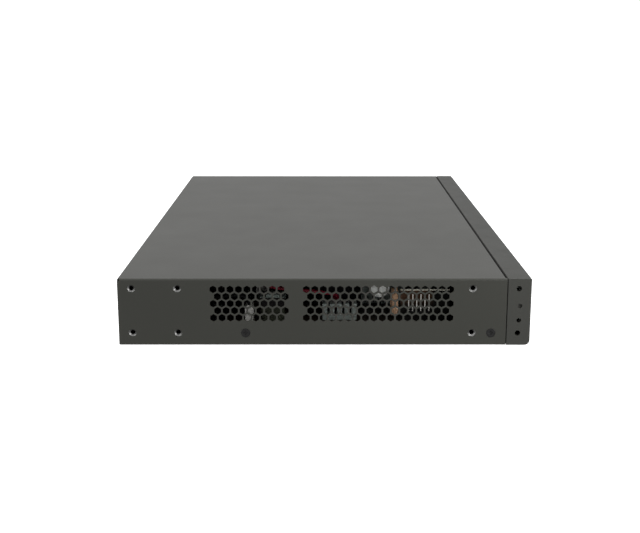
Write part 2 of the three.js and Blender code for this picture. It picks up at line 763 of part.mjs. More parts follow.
// A capacitor lying along X, its end at x = 0, on two leads bent down to the board.
function lyingCapacitor() {
  const spacing = 2.5;
  const wire = 0.5;
  const bend = BULK_LENGTH + 2.5;
  const recess = rod("x", [0, 0], BULK_RADIUS - 1, -PAST, 0.5, 24);
  const can = cut(rod("x", [0, 0], BULK_RADIUS, 0, BULK_LENGTH, 24), [recess]);
  const wires = [-spacing, spacing].flatMap((y) => [
    rod("x", [y, 0], wire, BULK_LENGTH - 1, bend, 8),
    rod("z", [bend, y], wire, ON_SUPPLY - BULK_Z, wire, 8),
  ]);
  return join([can, ...wires]);
}

// Five upright teeth on a bar, seen from the left side.
function toothedSink() {
  const teeth = 5;
  const pitch = 4.9;
  const tooth = 3.3;
  const height = 11.2;
  const base = 3.2;
  const length = (teeth - 1) * pitch + tooth;
  const slots = Array.from({ length: teeth - 1 }, (_, i) => {
    const y0 = -length / 2 + tooth + i * pitch;
    const y1 = y0 + pitch - tooth;
    return [[y0, base], [y1, base], [y1, height + PAST], [y0, height + PAST]];
  });
  const depth = 12;
  const bar = block([0, -length / 2, 0], [depth, length / 2, height]);
  return cut(bar, [prism("x", slots, -PAST, depth + PAST)]);
}

// A plate with a foot and short fins along its back.
function plateSink() {
  const finPlaces = Array.from({ length: 7 }, (_, i) => -29 + i * 8);
  const fins = finPlaces.map((y) => block([1.5, y, 4], [8, y + 1.5, 25]));
  return join([
    block([0, -30, 0], [2, 30, 26]),
    block([0, -30, 0], [6, 30, 1.8]),
    ...fins,
  ]);
}

// A wound ring, its axis along Y, with the turns as ribs.
function toroid() {
  const turns = 22;
  const inner = 4.2;
  const outer = 9.6;
  const half = 2.2;
  const soft = 0.8;
  const corners = roundedRect(inner, -half, outer, half, soft, 1);
  return turned([...corners, corners[0]], turns).rotate([-90, 0, 0]);
}

// A choke on a flanged bobbin, with the end of its core standing out on top.
function lineFilter() {
  return join([
    block([-8.5, -8.5, 0], [8.5, 8.5, 1.6]),
    prism("x", roundedRect(-7.6, 1, 7.6, 15.9, 3, 2), -7.6, 7.6),
    block([-8.5, -8.5, 15.1], [8.5, 8.5, 16.7]),
    block([-9, -4.2, 13.7], [1, 4.2, 18.6]),
  ]);
}

function controlBoard() {
  return block([0, -16.2, 0], [1.6, 16.2, 22.3]);
}

// Six leads standing on a strip, all in one row along Y.
function controlPins() {
  const pins = 6;
  const pitch = 2.68;
  const half = ((pins - 1) * pitch) / 2;
  const strip = block([-1.6, -half - 1.3, 0], [1, half + 1.3, 2.4]);
  const leads = Array.from({ length: pins }, (_, i) => {
    const y = -half + i * pitch;
    return block([-0.9, y - 0.3, 1], [-0.3, y + 0.3, 14]);
  });
  return join([strip, ...leads]);
}

// ---- Mains inlet ----

// An inlet with its flange behind the rear wall. The socket's mouth is at y = 0 and faces +Y.
function mainsInlet() {
  const mouth = roundedRect(-13.6, -10, 13.6, 10, 1.8, 2);
  const flange = roundedRect(-25, -11.5, 25, 11.5, 3, 2);
  const flangeFront = -(SHEET + GAP + 0.5);
  const well = [[-12, -7.8], [12, -7.8], [12, 4], [8, 8], [-8, 8], [-12, 4]];
  const screwHoles = [-1, 1].map((sign) => ring(sign * INLET_SCREW_REACH, 0, 1.7, 10));
  const body = cut(join([
    prism("y", mouth, -26, 0),
    prism("y", flange, flangeFront - 3, flangeFront),
  ]), [
    prism("y", well, -17, PAST),
    prism("y", screwHoles, flangeFront - 3 - PAST, PAST),
  ]);
  const places = [[-7, -2], [0, 2.5], [7, -2]];
  const blades = places.map(([x, z]) => block([x - 1, -31, z - 2], [x + 1, -5.5, z + 2]));
  return join([body, ...blades]);
}

// Cutters for a cross recess of a given reach and floor height.
function crossRecess(reach, floor) {
  const half = 0.45;
  return [
    block([-reach, -half, floor], [reach, half, PAST]),
    block([-half, -reach, floor], [half, reach, PAST]),
  ];
}

// A countersunk screw along +Z with a driver recess: head face at z = 0, shank below it.
function flatScrew(headRadius, headHeight, shankRadius, length) {
  const rim = 0.35;
  const shank = [[0, -length], [shankRadius, -length], [shankRadius, -headHeight]];
  const body = turned([...shank, [headRadius, -rim], [headRadius, 0], [0, 0]], 16);
  return cut(body, crossRecess(headRadius * 0.5, -0.7));
}

// A pan-head screw along +Z: the head stands on z = 0.
function panScrew() {
  const body = turned([[0, -7], [1.9, -7], [1.9, 0], [4, 0], [4, 0.7], [3.2, 1.2], [0, 1.2]], 16);
  return cut(body, crossRecess(2.4, 0.5));
}

// ---- Fans, their axis along Z ----

function fanFrame() {
  const half = FAN_SIZE / 2;
  const thick = FAN_THICK / 2;
  const motor = 1.5;
  const shell = prism("z", roundedRect(-half, -half, half, half, 3, 2), -thick, thick);
  const holes = [-1, 1].flatMap((a) => [-1, 1].map((b) => ring(a * FAN_SCREW, b * FAN_SCREW, 1.8, 6)));
  const hollow = cut(shell, [
    rod("z", [0, 0], FAN_BORE, -thick - PAST, thick + PAST, 32),
    prism("z", holes, -thick - PAST, thick + PAST),
  ]);
  const spoke = block([0, -1, -thick], [FAN_BORE + 0.5, 1, motor - thick]);
  const spokes = [45, 135, 225, 315].map((angle) => spoke.rotate([0, 0, angle]));
  return join([hollow, rod("z", [0, 0], FAN_HUB, -thick, motor - thick, 24), ...spokes]);
}

// One blade, curved across its chord and pitched to the airflow.
function fanBlade() {
  const bend = 14;
  const thick = 0.45;
  const low = arc(0, -bend, bend - thick, 90 - 27, 90 + 27, 3);
  const high = arc(0, -bend, bend + thick, 90 + 27, 90 - 27, 3);
  const geometry = new THREE.ExtrudeGeometry(
    new THREE.Shape([...low, ...high].map((p) => new THREE.Vector2(p[0], p[1]))),
    { depth: FAN_BLADE_TIP - FAN_HUB + 1.6, bevelEnabled: false },
  );
  geometry.rotateZ(THREE.MathUtils.degToRad(42));
  geometry.translate(0, 0, FAN_HUB - 1.2);
  geometry.rotateX(Math.PI / 2);
  geometry.rotateZ(Math.PI);
  return solid(geometry);
}

function fanRotor() {
  const bottom = 2 - FAN_THICK / 2;
  const top = FAN_THICK / 2 - 0.8;
  const blade = fanBlade();
  const blades = Array.from({ length: FAN_BLADES }, (_, i) => blade.rotate([0, 0, (i * 360) / FAN_BLADES]));
  const disc = rod("z", [0, 0], FAN_BLADE_TIP, bottom, top, 28);
  return join([rod("z", [0, 0], FAN_HUB - 0.2, bottom, top, 20), join(blades).intersect(disc)]);
}

// ---- Assembly ----

function addHousing() {
  const housing = new THREE.Group();
  model.add(housing);
  add(housing, "base_pan", basePan(), LOOKS.zinc);
  add(housing, "side_rail_left", sideRail(-1, [], []), LOOKS.zinc);
  const fanBores = FANS.map((fan) => ring(fan.y, FAN_Z, FAN_BORE, 28));
  add(housing, "side_rail_right", sideRail(1, fanTabs(), fanBores), LOOKS.zinc);
  add(housing, "rear_panel", rearPanel(), LOOKS.zinc);
  add(housing, "top_cover", topCover(), LOOKS.cover);
  add(housing, "front_bezel", frontBezel(), LOOKS.bezel);
  add(housing, "front_panel", frontPanel(), LOOKS.zinc);
  const flush = 0.1;
  for (const [side, sign] of [["left", -1], ["right", 1]]) {
    for (const screw of COVER_SCREWS) {
      const name = `cover_screw_${side}_${screw.name}`;
      const place = [sign * (SIDE - flush), REAR - screw.fromRear, COVER_SCREW_Z];
      const body = flatScrew(SCREW_HEAD_RADIUS, 0.9, 1.35, 4);
      add(housing, name, body, LOOKS.screw, place, [0, (sign * Math.PI) / 2, 0]);
    }
  }
}

function addFrontParts() {
  const face = new THREE.Group();
  face.position.set(0, FRONT + FACE_BACK, 0);
  model.add(face);
  for (const jack of JACK_BLOCKS) {
    add(face, `jack_block_${jack.name}`, jackBlock(), LOOKS.nickel, [jack.x, 0, ON_BOARD]);
  }
  add(face, "sfp_cage", sfpCage(), LOOKS.nickel, [SFP_X, 0, ON_BOARD]);
  add(face, "console_jack", consoleJack(), LOOKS.nickel, [CONSOLE_X, 0, ON_BOARD]);
  add(face, "status_light_pipe", lightPipe(), LOOKS.clear, [LIGHT_X, 0, 0]);
  const switchBack = BUTTON_LENGTH + BUTTON_TRAVEL + GAP;
  add(face, "mode_button", button(MODE_RADIUS), LOOKS.button, [MODE_X, 0, BUTTON_Z]);
  add(face, "mode_switch", pushSwitch(), LOOKS.blackPlastic, [MODE_X, switchBack, BUTTON_Z]);
  add(face, "reset_button", button(RESET_RADIUS), LOOKS.button, [RESET_X, RESET_RECESS, BUTTON_Z]);
  const resetBack = switchBack + RESET_RECESS;
  add(face, "reset_switch", pushSwitch(), LOOKS.blackPlastic, [RESET_X, resetBack, BUTTON_Z]);
}

function addMainBoard() {
  const group = new THREE.Group();
  model.add(group);
  add(group, "main_board", mainBoard(), LOOKS.board);
  const onBoard = new THREE.Group();
  onBoard.position.set(0, 0, ON_BOARD);
  group.add(onBoard);
  const chipHeight = 2;
  const onChip = chipHeight + GAP;
  add(onBoard, "switch_chip", chip(31, chipHeight), LOOKS.chip, [10, -42, 0]);
  const switchSink = finnedSink(46, 46, 16, 3, 13, 1.2);
  add(onBoard, "switch_heatsink", switchSink, LOOKS.aluminium, [10, -42, onChip]);
  for (const jack of JACK_BLOCKS) {
    const sink = finnedSink(24, 24, 10, 2, 7, 1);
    add(onBoard, `phy_chip_${jack.name}`, chip(20, chipHeight), LOOKS.chip, [jack.x, -82, 0]);
    add(onBoard, `phy_heatsink_${jack.name}`, sink, LOOKS.aluminium, [jack.x, -82, onChip]);
  }
  add(onBoard, "processor_chip", chip(23, chipHeight), LOOKS.chip, [-62, -20, 0]);
  add(onBoard, "memory_chip", chip(12, 1.2), LOOKS.chip, [-92, -20, 0]);
  add(onBoard, "supply_header", header(20, 9, 9), LOOKS.whitePlastic, [-113, 45, 0]);
  for (const fan of FANS) {
    add(onBoard, `fan_header_${fan.name}`, header(8, 6, 6.5), LOOKS.whitePlastic, [168, fan.y - 14, 0]);
  }
}

// The supply's own frame: x runs in from the left side, y runs from the rear towards +Y.
function addSupply() {
  const supply = new THREE.Group();
  supply.position.set(-SIDE, REAR, 0);
  model.add(supply);
  add(model, "supply_board", supplyBoard(), LOOKS.brownBoard);
  add(model, "supply_insulator", supplyInsulator(), LOOKS.insulator);
  add(supply, "mains_header", header(12, 5.6, 10.4), LOOKS.whitePlastic, [26, -83.3, ON_SUPPLY]);
  add(supply, "line_filter", lineFilter(), LOOKS.bobbin, [29.5, -99, ON_SUPPLY]);
  add(supply, "rectifier_heatsink", toothedSink(), LOOKS.aluminium, [24.4, -143.2, ON_SUPPLY]);
  add(supply, "bulk_capacitor", lyingCapacitor(), LOOKS.sleeve, [22, -169.5, BULK_Z]);
  add(supply, "transformer", transformer(), LOOKS.tape, [62, -142, ON_SUPPLY]);
  add(supply, "output_capacitor", capacitor(5, 20), LOOKS.sleeve, [43, -192, ON_SUPPLY]);
  add(supply, "output_heatsink", plateSink(), LOOKS.aluminium, [66, -189, ON_SUPPLY]);
  add(supply, "toroid_choke", toroid(), LOOKS.copper, [22, -179.3, 23.2]);
  add(supply, "control_board", controlBoard(), LOOKS.brownBoard, [20, -199.6, ON_SUPPLY]);
  add(supply, "control_pins", controlPins(), LOOKS.nickel, [18.6, -195.3, 15.2]);
}

function addInlet() {
  const inlet = new THREE.Group();
  inlet.position.set(INLET_FROM_LEFT - SIDE, PAN_REAR + 0.5, INLET_Z);
  model.add(inlet);
  const faceRear = [-Math.PI / 2, 0, 0];
  add(inlet, "mains_inlet", mainsInlet(), LOOKS.blackPlastic);
  for (const [side, sign] of [["left", -1], ["right", 1]]) {
    const place = [sign * INLET_SCREW_REACH, -0.4, 0];
    add(inlet, `inlet_screw_${side}`, flatScrew(2.7, 1.4, 1.4, 9), LOOKS.zinc, place, faceRear);
  }
  add(model, "earth_screw", panScrew(), LOOKS.zinc, [EARTH_X, PAN_REAR + 0.05, INLET_Z], faceRear);
}

// A route moved sideways in plan, to lie beside the first one.
function beside(route, shift) {
  return route.map(([x, y, z], i) => {
    const before = route[Math.max(i - 1, 0)];
    const after = route[Math.min(i + 1, route.length - 1)];
    const along = new THREE.Vector2(after[0] - before[0], after[1] - before[1]).normalize();
    return [x - along.y * shift, y + along.x * shift, z];
  });
}

function addLeads() {
  const leads = new THREE.Group();
  leads.position.set(-SIDE, REAR, 0);
  model.add(leads);
  const mainsRadius = 1.2;
  const live = [
    [28, -32.4, 20], [27.5, -40, 20.4], [24.5, -55, 24], [23, -72, 27], [23, -82, 25], [23, -83.3, 17.5],
  ];
  const neutral = [
    [42, -32.4, 20], [41, -40, 20.4], [34, -55, 23], [29.5, -70, 26], [29, -81, 25], [29, -83.3, 17.5],
  ];
  const earth = [
    [35, -32.4, 24.5], [35, -42, 26], [50, -50, 28], [76, -38, 27], [82, -20, 23.5], [82, -10.4, 22],
  ];
  add(leads, "live_lead", lead(live, mainsRadius), LOOKS.black);
  add(leads, "neutral_lead", lead(neutral, mainsRadius), LOOKS.black);
  add(leads, "earth_lead", lead(earth, mainsRadius), LOOKS.green);
  const output = [
    [40.4, -140, 10.2], [40.2, -140, 16], [38, -140, 21.6], [32, -138.4, 25.4], [26, -133.5, 28.2],
    [21.6, -126, 30.4], [19.8, -116, 32], [20.6, -105, 33], [24.5, -96.5, 33.8], [34, -90.5, 34.2],
    [60, -88, 34.4], [92, -88, 31.5], [104, -88, 24], [107, -88, 14.5],
  ];
  const outputRadius = 0.95;
  const spread = 2.15;
  const threads = [["negative", LOOKS.black], ["sense", LOOKS.red], ["positive", LOOKS.red]];
  threads.forEach(([name, material], i) => {
    const path = beside(output, (i - 1) * spread);
    add(leads, `supply_lead_${name}`, lead(path, outputRadius, 26), material);
  });
}

function addFans() {
  for (const fan of FANS) {
    const group = new THREE.Group();
    group.position.set(FAN_X, fan.y, FAN_Z);
    group.rotation.set(0, Math.PI / 2, 0);
    model.add(group);
    add(group, `fan_frame_${fan.name}`, fanFrame(), LOOKS.blackPlastic);
    add(group, `fan_rotor_${fan.name}`, fanRotor(), LOOKS.blackPlastic);
    const route = [
      [FAN_X - FAN_THICK / 2 - 0.4, fan.y - 17.5, 6.5], [190, fan.y - 18, 7], [182, fan.y - 16, 12],
      [172, fan.y - 14.5, 20], [168, fan.y - 14, 18], [168, fan.y - 14, 12.4],
    ];
    add(model, `fan_lead_${fan.name}`, lead(route, 1.3, 20), LOOKS.black);
  }
}

addHousing();
addFrontParts();
addMainBoard();
addSupply();
addInlet();
addLeads();
addFans();

export default model;
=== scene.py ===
"""Looks of a one-unit rackmount network switch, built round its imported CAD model."""
import math

import bmesh
import bpy
from mathutils import Matrix, Vector


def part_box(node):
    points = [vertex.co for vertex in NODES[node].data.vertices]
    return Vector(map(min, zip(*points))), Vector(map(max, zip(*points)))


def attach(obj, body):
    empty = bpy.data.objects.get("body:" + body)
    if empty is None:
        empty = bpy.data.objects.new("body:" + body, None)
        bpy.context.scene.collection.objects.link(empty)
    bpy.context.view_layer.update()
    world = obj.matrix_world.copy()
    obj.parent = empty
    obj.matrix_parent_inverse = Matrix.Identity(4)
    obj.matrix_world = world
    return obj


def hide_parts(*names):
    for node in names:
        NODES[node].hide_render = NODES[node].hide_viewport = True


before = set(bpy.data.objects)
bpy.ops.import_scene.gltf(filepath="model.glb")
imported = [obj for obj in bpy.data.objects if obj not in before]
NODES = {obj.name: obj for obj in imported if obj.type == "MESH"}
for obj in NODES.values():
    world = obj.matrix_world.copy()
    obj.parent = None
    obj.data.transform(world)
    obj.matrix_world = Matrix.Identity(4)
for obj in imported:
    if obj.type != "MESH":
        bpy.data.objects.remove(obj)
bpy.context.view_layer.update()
MM = 0.001
CHASSIS = "chassis"


def place(*values):
    """A point given in millimetres."""
    return Vector(values) * MM


# ---- Camera, stage and lights ----

SENSOR_WIDTH = 36
FOCAL_IN_SENSOR_WIDTHS = 1.7234375
CAMERA_PLACE = place(-903.9, 4.4, 213.5)
CAMERA_YAW = 0.128
CAMERA_PITCH = 13.275
CAMERA_ROLL = 0.037
BACKDROP_LIGHT = 1.1
SURROUND_LIGHT = 0.86
SURROUND_LEAN = (0, 0.08, 0.3)  # how much more light comes from the rear and from above
SOFTBOX_HEIGHT = 1.9
SOFTBOX_SIZE = 2.6
SOFTBOX_POWER = 6
FILL_PLACE = (-0.48, -0.34, 0.18)
FILL_TARGET = (-0.22, -0.13, 0.02)
FILL_SIZE = 0.2
FILL_POWER = 1.05
KEY_PLACE = (-0.75, 1.5, 1.0)
KEY_TARGET = (-0.22, 0, 0.02)
KEY_SIZE = 1.2
KEY_POWER = 12
FLOOR_HALF = 30
FLOOR_DROP = 0.0002  # keeps the floor from touching the underside
FLOOR_GLOW = 0.65


def make_camera():
    data = bpy.data.cameras.new("camera")
    data.sensor_width = SENSOR_WIDTH
    data.lens = FOCAL_IN_SENSOR_WIDTHS * SENSOR_WIDTH
    data.clip_start = 0.01
    data.clip_end = 100
    camera = bpy.data.objects.new("camera", data)
    bpy.context.scene.collection.objects.link(camera)
    yaw, pitch = math.radians(CAMERA_YAW), math.radians(CAMERA_PITCH)
    level = math.cos(pitch)
    forward = Vector((math.cos(yaw) * level, -math.sin(yaw) * level, -math.sin(pitch)))
    roll = Matrix.Rotation(math.radians(CAMERA_ROLL), 3, "Z")
    turn = forward.to_track_quat("-Z", "Y").to_matrix() @ roll
    camera.rotation_mode = "QUATERNION"
    camera.rotation_quaternion = turn.to_quaternion()
    camera.location = CAMERA_PLACE
    bpy.context.scene.camera = camera


def area_light(name, location, target, size, power):
    """A square soft light, facing its target."""
    data = bpy.data.lights.new(name, "AREA")
    data.shape = "RECTANGLE"
    data.size = data.size_y = size
    data.energy = power
    light = bpy.data.objects.new(name, data)
    light.location = location
    light.rotation_mode = "QUATERNION"
    light.rotation_quaternion = (Vector(target) - Vector(location)).to_track_quat("-Z", "Y")
    bpy.context.scene.collection.objects.link(light)


def make_world():
    """White where the camera sees it, and a dimmer soft light from all round for the object."""
    world = bpy.data.worlds.new("studio")
    world.use_nodes = True
    tree = world.node_tree
    backdrop = tree.nodes["Background"]
    backdrop.inputs["Color"].default_value = (1, 1, 1, 1)
    backdrop.inputs["Strength"].default_value = BACKDROP_LIGHT
    surround = tree.nodes.new("ShaderNodeBackground")
    surround.inputs["Color"].default_value = (1, 1, 1, 1)
    coordinates = tree.nodes.new("ShaderNodeTexCoord")
    lean = tree.nodes.new("ShaderNodeVectorMath")
    lean.operation = "DOT_PRODUCT"
    lean.inputs[1].default_value = SURROUND_LEAN
    tree.links.new(coordinates.outputs["Generated"], lean.inputs[0])
    strength = tree.nodes.new("ShaderNodeMath")
    strength.inputs[1].default_value = SURROUND_LIGHT
    tree.links.new(lean.outputs["Value"], strength.inputs[0])
    tree.links.new(strength.outputs[0], surround.inputs["Strength"])
    path = tree.nodes.new("ShaderNodeLightPath")
    choice = tree.nodes.new("ShaderNodeMixShader")
    tree.links.new(path.outputs["Is Camera Ray"], choice.inputs[0])
    tree.links.new(surround.outputs["Background"], choice.inputs[1])
    tree.links.new(backdrop.outputs["Background"], choice.inputs[2])
    tree.links.new(choice.outputs["Shader"], tree.nodes["World Output"].inputs["Surface"])
    bpy.context.scene.world = world


def make_floor():
    half = FLOOR_HALF
    corners = [(-half, -half, 0), (half, -half, 0), (half, half, 0), (-half, half, 0)]
    mesh = bpy.data.meshes.new("floor")
    mesh.from_pydata(corners, [], [(0, 1, 2, 3)])
    floor = bpy.data.objects.new("floor", mesh)
    floor.location.z = -FLOOR_DROP
    floor.visible_diffuse = floor.visible_glossy = False
    bpy.context.scene.collection.objects.link(floor)
    paint = bpy.data.materials.new("floor_white")
    paint.use_nodes = True
    shader = paint.node_tree.nodes["Principled BSDF"]
    shader.inputs["Base Color"].default_value = (0.95, 0.95, 0.95, 1)
    shader.inputs["Roughness"].default_value = 0.9
    shader.inputs["Specular IOR Level"].default_value = 0
    shader.inputs["Emission Color"].default_value = (1, 1, 1, 1)
    shader.inputs["Emission Strength"].default_value = FLOOR_GLOW
    mesh.materials.append(paint)


def make_stage():
    bpy.context.scene.view_settings.view_transform = "Standard"
    bpy.context.scene.view_settings.look = "None"
    make_world()
    make_floor()
    area_light("top_softbox", (0, 0, SOFTBOX_HEIGHT), (0, 0, 0), SOFTBOX_SIZE, SOFTBOX_POWER)
    area_light("front_fill", FILL_PLACE, FILL_TARGET, FILL_SIZE, FILL_POWER)
    area_light("rear_key", KEY_PLACE, KEY_TARGET, KEY_SIZE, KEY_POWER)


# ---- Material kit ----

TONGUE_FRONT = -117.7  # where the bezel's tongue starts, along Y in millimetres


class Look:
    """One procedural material: a Principled shader and short calls that feed it."""

    def __init__(self, name, roughness, metallic=0.0, specular=0.5):
        self.material = bpy.data.materials.new(name)
        self.material.use_nodes = True
        self.tree = self.material.node_tree
        self.shader = self.tree.nodes["Principled BSDF"]
        self.set("Roughness", roughness)
        self.set("Metallic", metallic)
        self.set("Specular IOR Level", specular)
        self.coordinates = self.tree.nodes.new("ShaderNodeTexCoord").outputs["Object"]

    def set(self, socket, value):
        self.shader.inputs[socket].default_value = value

    def feed(self, socket, output):
        self.tree.links.new(output, self.shader.inputs[socket])

    def node(self, kind, links=(), **settings):
        made = self.tree.nodes.new(kind)
        for key, value in settings.items():
            setattr(made, key, value)
        for socket, source in dict(links).items():
            if hasattr(source, "is_output"):
                self.tree.links.new(source, made.inputs[socket])
            else:
                made.inputs[socket].default_value = source
        return made

    def stretched(self, scale):
        """Object coordinates scaled unevenly, for grain that runs one way."""
        links = {"Vector": self.coordinates, "Scale": scale}
        return self.node("ShaderNodeMapping", links).outputs["Vector"]

    def noise(self, scale, detail=2.0, vector=None):
        links = {"Vector": vector or self.coordinates, "Scale": scale, "Detail": detail}
        return self.node("ShaderNodeTexNoise", links).outputs["Fac"]

    def voronoi(self, scale):
        links = {"Vector": self.coordinates, "Scale": scale}
        return self.node("ShaderNodeTexVoronoi", links).outputs["Distance"]

    def ramp(self, value, stops):
        """A colour ramp from (position, colour) stops."""
        made = self.node("ShaderNodeValToRGB", {"Fac": value})
        elements = made.color_ramp.elements
        while len(elements) < len(stops):
            elements.new(0.5)
        for element, (position, colour) in zip(elements, stops):
            element.position = position
            element.color = (*colour, 1)
        return made.outputs["Color"]

    def remap(self, value, low, high, from_low=0.3, from_high=0.7):
        """A value's range moved to another one; noise mostly lies between 0.3 and 0.7."""
        links = {
            "Value": value, "From Min": from_low, "From Max": from_high, "To Min": low, "To Max": high,
        }
        return self.node("ShaderNodeMapRange", links).outputs["Result"]

    def mix(self, factor, a, b, blend="MIX"):
        """Two colours mixed; a colour mix node has its colour inputs in sockets 6 and 7."""
        made = self.node("ShaderNodeMix", data_type="RGBA", blend_type=blend)
        for index, source in ((0, factor), (6, a), (7, b)):
            if hasattr(source, "is_output"):
                self.tree.links.new(source, made.inputs[index])
            else:
                made.inputs[index].default_value = source if index == 0 else (*source, 1)
        return made.outputs[2]

    def math(self, operation, a, b):
        made = self.node("ShaderNodeMath", operation=operation)
        for index, source in ((0, a), (1, b)):
            if hasattr(source, "is_output"):
                self.tree.links.new(source, made.inputs[index])
            else:
                made.inputs[index].default_value = source
        return made.outputs[0]

    def normal_part(self, axis):
        """How far the surface faces along one axis, from -1 to 1."""
        geometry = self.node("ShaderNodeNewGeometry")
        parts = self.node("ShaderNodeSeparateXYZ", {"Vector": geometry.outputs["Normal"]})
        return parts.outputs[axis]

    def along(self, axis, low_mm, high_mm):
        """0 below one place on an axis of the object's frame and 1 above another, even between them."""
        parts = self.node("ShaderNodeSeparateXYZ", {"Vector": self.coordinates})
        return self.remap(parts.outputs[axis], 0, 1, low_mm * MM, high_mm * MM)

    def bump(self, height, depth_mm):
        links = {"Height": height, "Distance": depth_mm * MM, "Strength": 1.0}
        self.feed("Normal", self.node("ShaderNodeBump", links).outputs["Normal"])

    def tinted(self, colour, spread, scale):
        """The colour, varied a little by slow and fine noise."""
        dark = [c * (1 - spread) for c in colour]
        light = [c * (1 + spread) for c in colour]
        return self.ramp(self.noise(scale, detail=4), [(0.3, dark), (0.7, light)])


def grey(level):
    return (level, level, level)


def powder_coat():
    """Satin powder coat: fine orange peel under a sandy grain, with slight cloudiness."""
    look = Look("powder_coat", roughness=0.47, specular=0.35)
    cloud = look.tinted((0.025, 0.0255, 0.0205), 0.03, 22)
    speck = look.ramp(look.noise(2600, detail=1), [(0.35, grey(0.93)), (0.65, grey(1.07))])
    look.feed("Base Color", look.mix(1.0, cloud, speck, "MULTIPLY"))
    look.feed("Roughness", look.remap(look.noise(30, detail=3), 0.46, 0.485))
    grain = look.noise(1900, detail=2)
    peel = look.noise(420, detail=1)
    look.bump(look.math("ADD", grain, look.math("MULTIPLY", peel, 1.2)), 0.018)
    return look.material


def bezel_plastic():
    """Moulded housing plastic, finely spark-eroded; its tongue under the cover is painted near-black and
    dull, a painted shade for the seam's channel.
    """
    look = Look("bezel_plastic", roughness=0.62)
    cloud = look.tinted((0.029, 0.0294, 0.0255), 0.03, 30)
    speck = look.ramp(look.voronoi(2400), [(0.0, grey(0.95)), (0.6, grey(1.05))])
    outside = look.mix(1.0, cloud, speck, "MULTIPLY")
    # Painted shade: past TONGUE_FRONT the plastic turns near-black and loses most of its shine, standing in
    # for the shade inside the seam between bezel and cover.
    tongue = look.along("Y", TONGUE_FRONT - 0.08, TONGUE_FRONT)
    look.feed("Base Color", look.mix(tongue, outside, (0.013, 0.013, 0.012)))
    look.feed("Specular IOR Level", look.mix(tongue, grey(0.29), grey(0.08)))
    look.feed("Roughness", look.remap(look.noise(60), 0.55, 0.6))
    look.bump(look.voronoi(2000), 0.02)
    return look.material


def plated_steel():
    """Zinc-plated sheet: rolled grain along X, faint spangle and slight cloudy oxidation."""
    look = Look("plated_steel", roughness=0.33, metallic=1.0)
    spangle = look.ramp(look.voronoi(160), [(0.0, (0.4, 0.41, 0.4)), (0.9, (0.47, 0.48, 0.465))])
    haze = look.ramp(look.noise(22, detail=5), [(0.35, grey(0.9)), (0.7, grey(1.0))])
    look.feed("Base Color", look.mix(1.0, spangle, haze, "MULTIPLY"))
    grain = look.noise(120, detail=3, vector=look.stretched((1, 40, 40)))
    look.feed("Roughness", look.remap(grain, 0.27, 0.4))
    look.bump(grain, 0.006)
    return look.material


def bright_metal(name, colour, low, high, metallic=1.0):
    """Plated metal with a fine grain that runs along Y."""
    look = Look(name, roughness=(low + high) / 2, metallic=metallic)
    look.feed("Base Color", look.tinted(colour, 0.05, 90))
    grain = look.noise(300, detail=2, vector=look.stretched((40, 1, 40)))
    look.feed("Roughness", look.remap(grain, low, high))
    look.bump(grain, 0.004)
    return look.material


def black_oxide():
    look = Look("black_oxide", roughness=0.5, metallic=0.1, specular=0.25)
    look.feed("Base Color", look.tinted((0.01, 0.01, 0.01), 0.15, 400))
    look.feed("Roughness", look.remap(look.noise(900), 0.42, 0.56))
    look.bump(look.noise(2500), 0.006)
    return look.material


def moulded(name, colour, low, high, grain=0.012, specular=0.4):
    """Moulded plastic with a fine grain and slightly uneven gloss."""
    look = Look(name, roughness=(low + high) / 2, specular=specular)
    look.feed("Base Color", look.tinted(colour, 0.06, 220))
    look.feed("Roughness", look.remap(look.noise(500), low, high))
    look.bump(look.noise(2200), grain)
    return look.material


def clear_lens():
    look = Look("clear_lens", roughness=0.12, specular=0.6)
    look.set("Transmission Weight", 0.75)
    look.set("IOR", 1.49)
    look.feed("Base Color", look.tinted((0.86, 0.9, 0.88), 0.03, 300))
    return look.material


def circuit_board(name, mask, track, edge):
    """Solder mask over copper tracks: a grid of traces in two directions, vias, and a bare cut edge."""
    look = Look(name, roughness=0.45, specular=0.25)
    darker = [c * 0.86 for c in mask]
    cells = look.node("ShaderNodeTexBrick", {
        "Vector": look.coordinates, "Scale": 90, "Mortar Size": 0.03, "Bias": 0,
        "Color1": (*mask, 1), "Color2": (*darker, 1), "Mortar": (*track, 1),
    })
    vias = look.ramp(look.voronoi(340), [(0.1, track), (0.16, mask)])
    traced = look.mix(0.35, cells.outputs["Color"], vias)
    upright = look.math("ABSOLUTE", look.normal_part("Z"), 0)
    look.feed("Base Color", look.mix(look.remap(upright, 0, 1, 0.3, 0.6), edge, traced))
    look.feed("Roughness", look.remap(look.noise(260), 0.3, 0.46))
    look.bump(cells.outputs["Fac"], 0.02)
    return look.material


def upright_board():
    """Dark laminate standing on edge: brown round the pins, black elsewhere, with a pale band along its top
    edge that is a painted highlight.
    """
    look = Look("upright_board", roughness=0.6, specular=0.1)
    brown = look.tinted((0.07, 0.036, 0.02), 0.25, 140)
    bare = look.math("MULTIPLY", look.along("Z", 20, 27), look.along("Y", -73, -70))
    shade = look.mix(bare, (0.006, 0.006, 0.005), brown)
    # Painted highlight: a pale cream band from 31.1 mm up along the board's top edge, standing in for light
    # on that edge.
    painted_top_highlight = look.along("Z", 31.1, 31.25)
    look.feed("Base Color", look.mix(painted_top_highlight, shade, (0.82, 0.8, 0.68)))
    look.bump(look.noise(900), 0.01)
    return look.material


def insulated(name, colour, specular):
    """Wire insulation, with faint extrusion lines."""
    look = Look(name, roughness=0.45, specular=specular)
    look.feed("Base Color", look.tinted(colour, 0.12, 120))
    look.feed("Roughness", look.remap(look.noise(700), 0.4, 0.52))
    look.bump(look.noise(1600), 0.008)
    return look.material


def earth_insulation():
    """Green insulation with a yellow stripe."""
    look = Look("earth_insulation", roughness=0.4)
    streaks = look.noise(60, detail=0, vector=look.stretched((3, 3, 0.4)))
    stripe = look.ramp(streaks, [(0.47, (0.03, 0.19, 0.04)), (0.5, (0.62, 0.5, 0.03))])
    look.feed("Base Color", stripe)
    look.bump(look.noise(1600), 0.008)
    return look.material


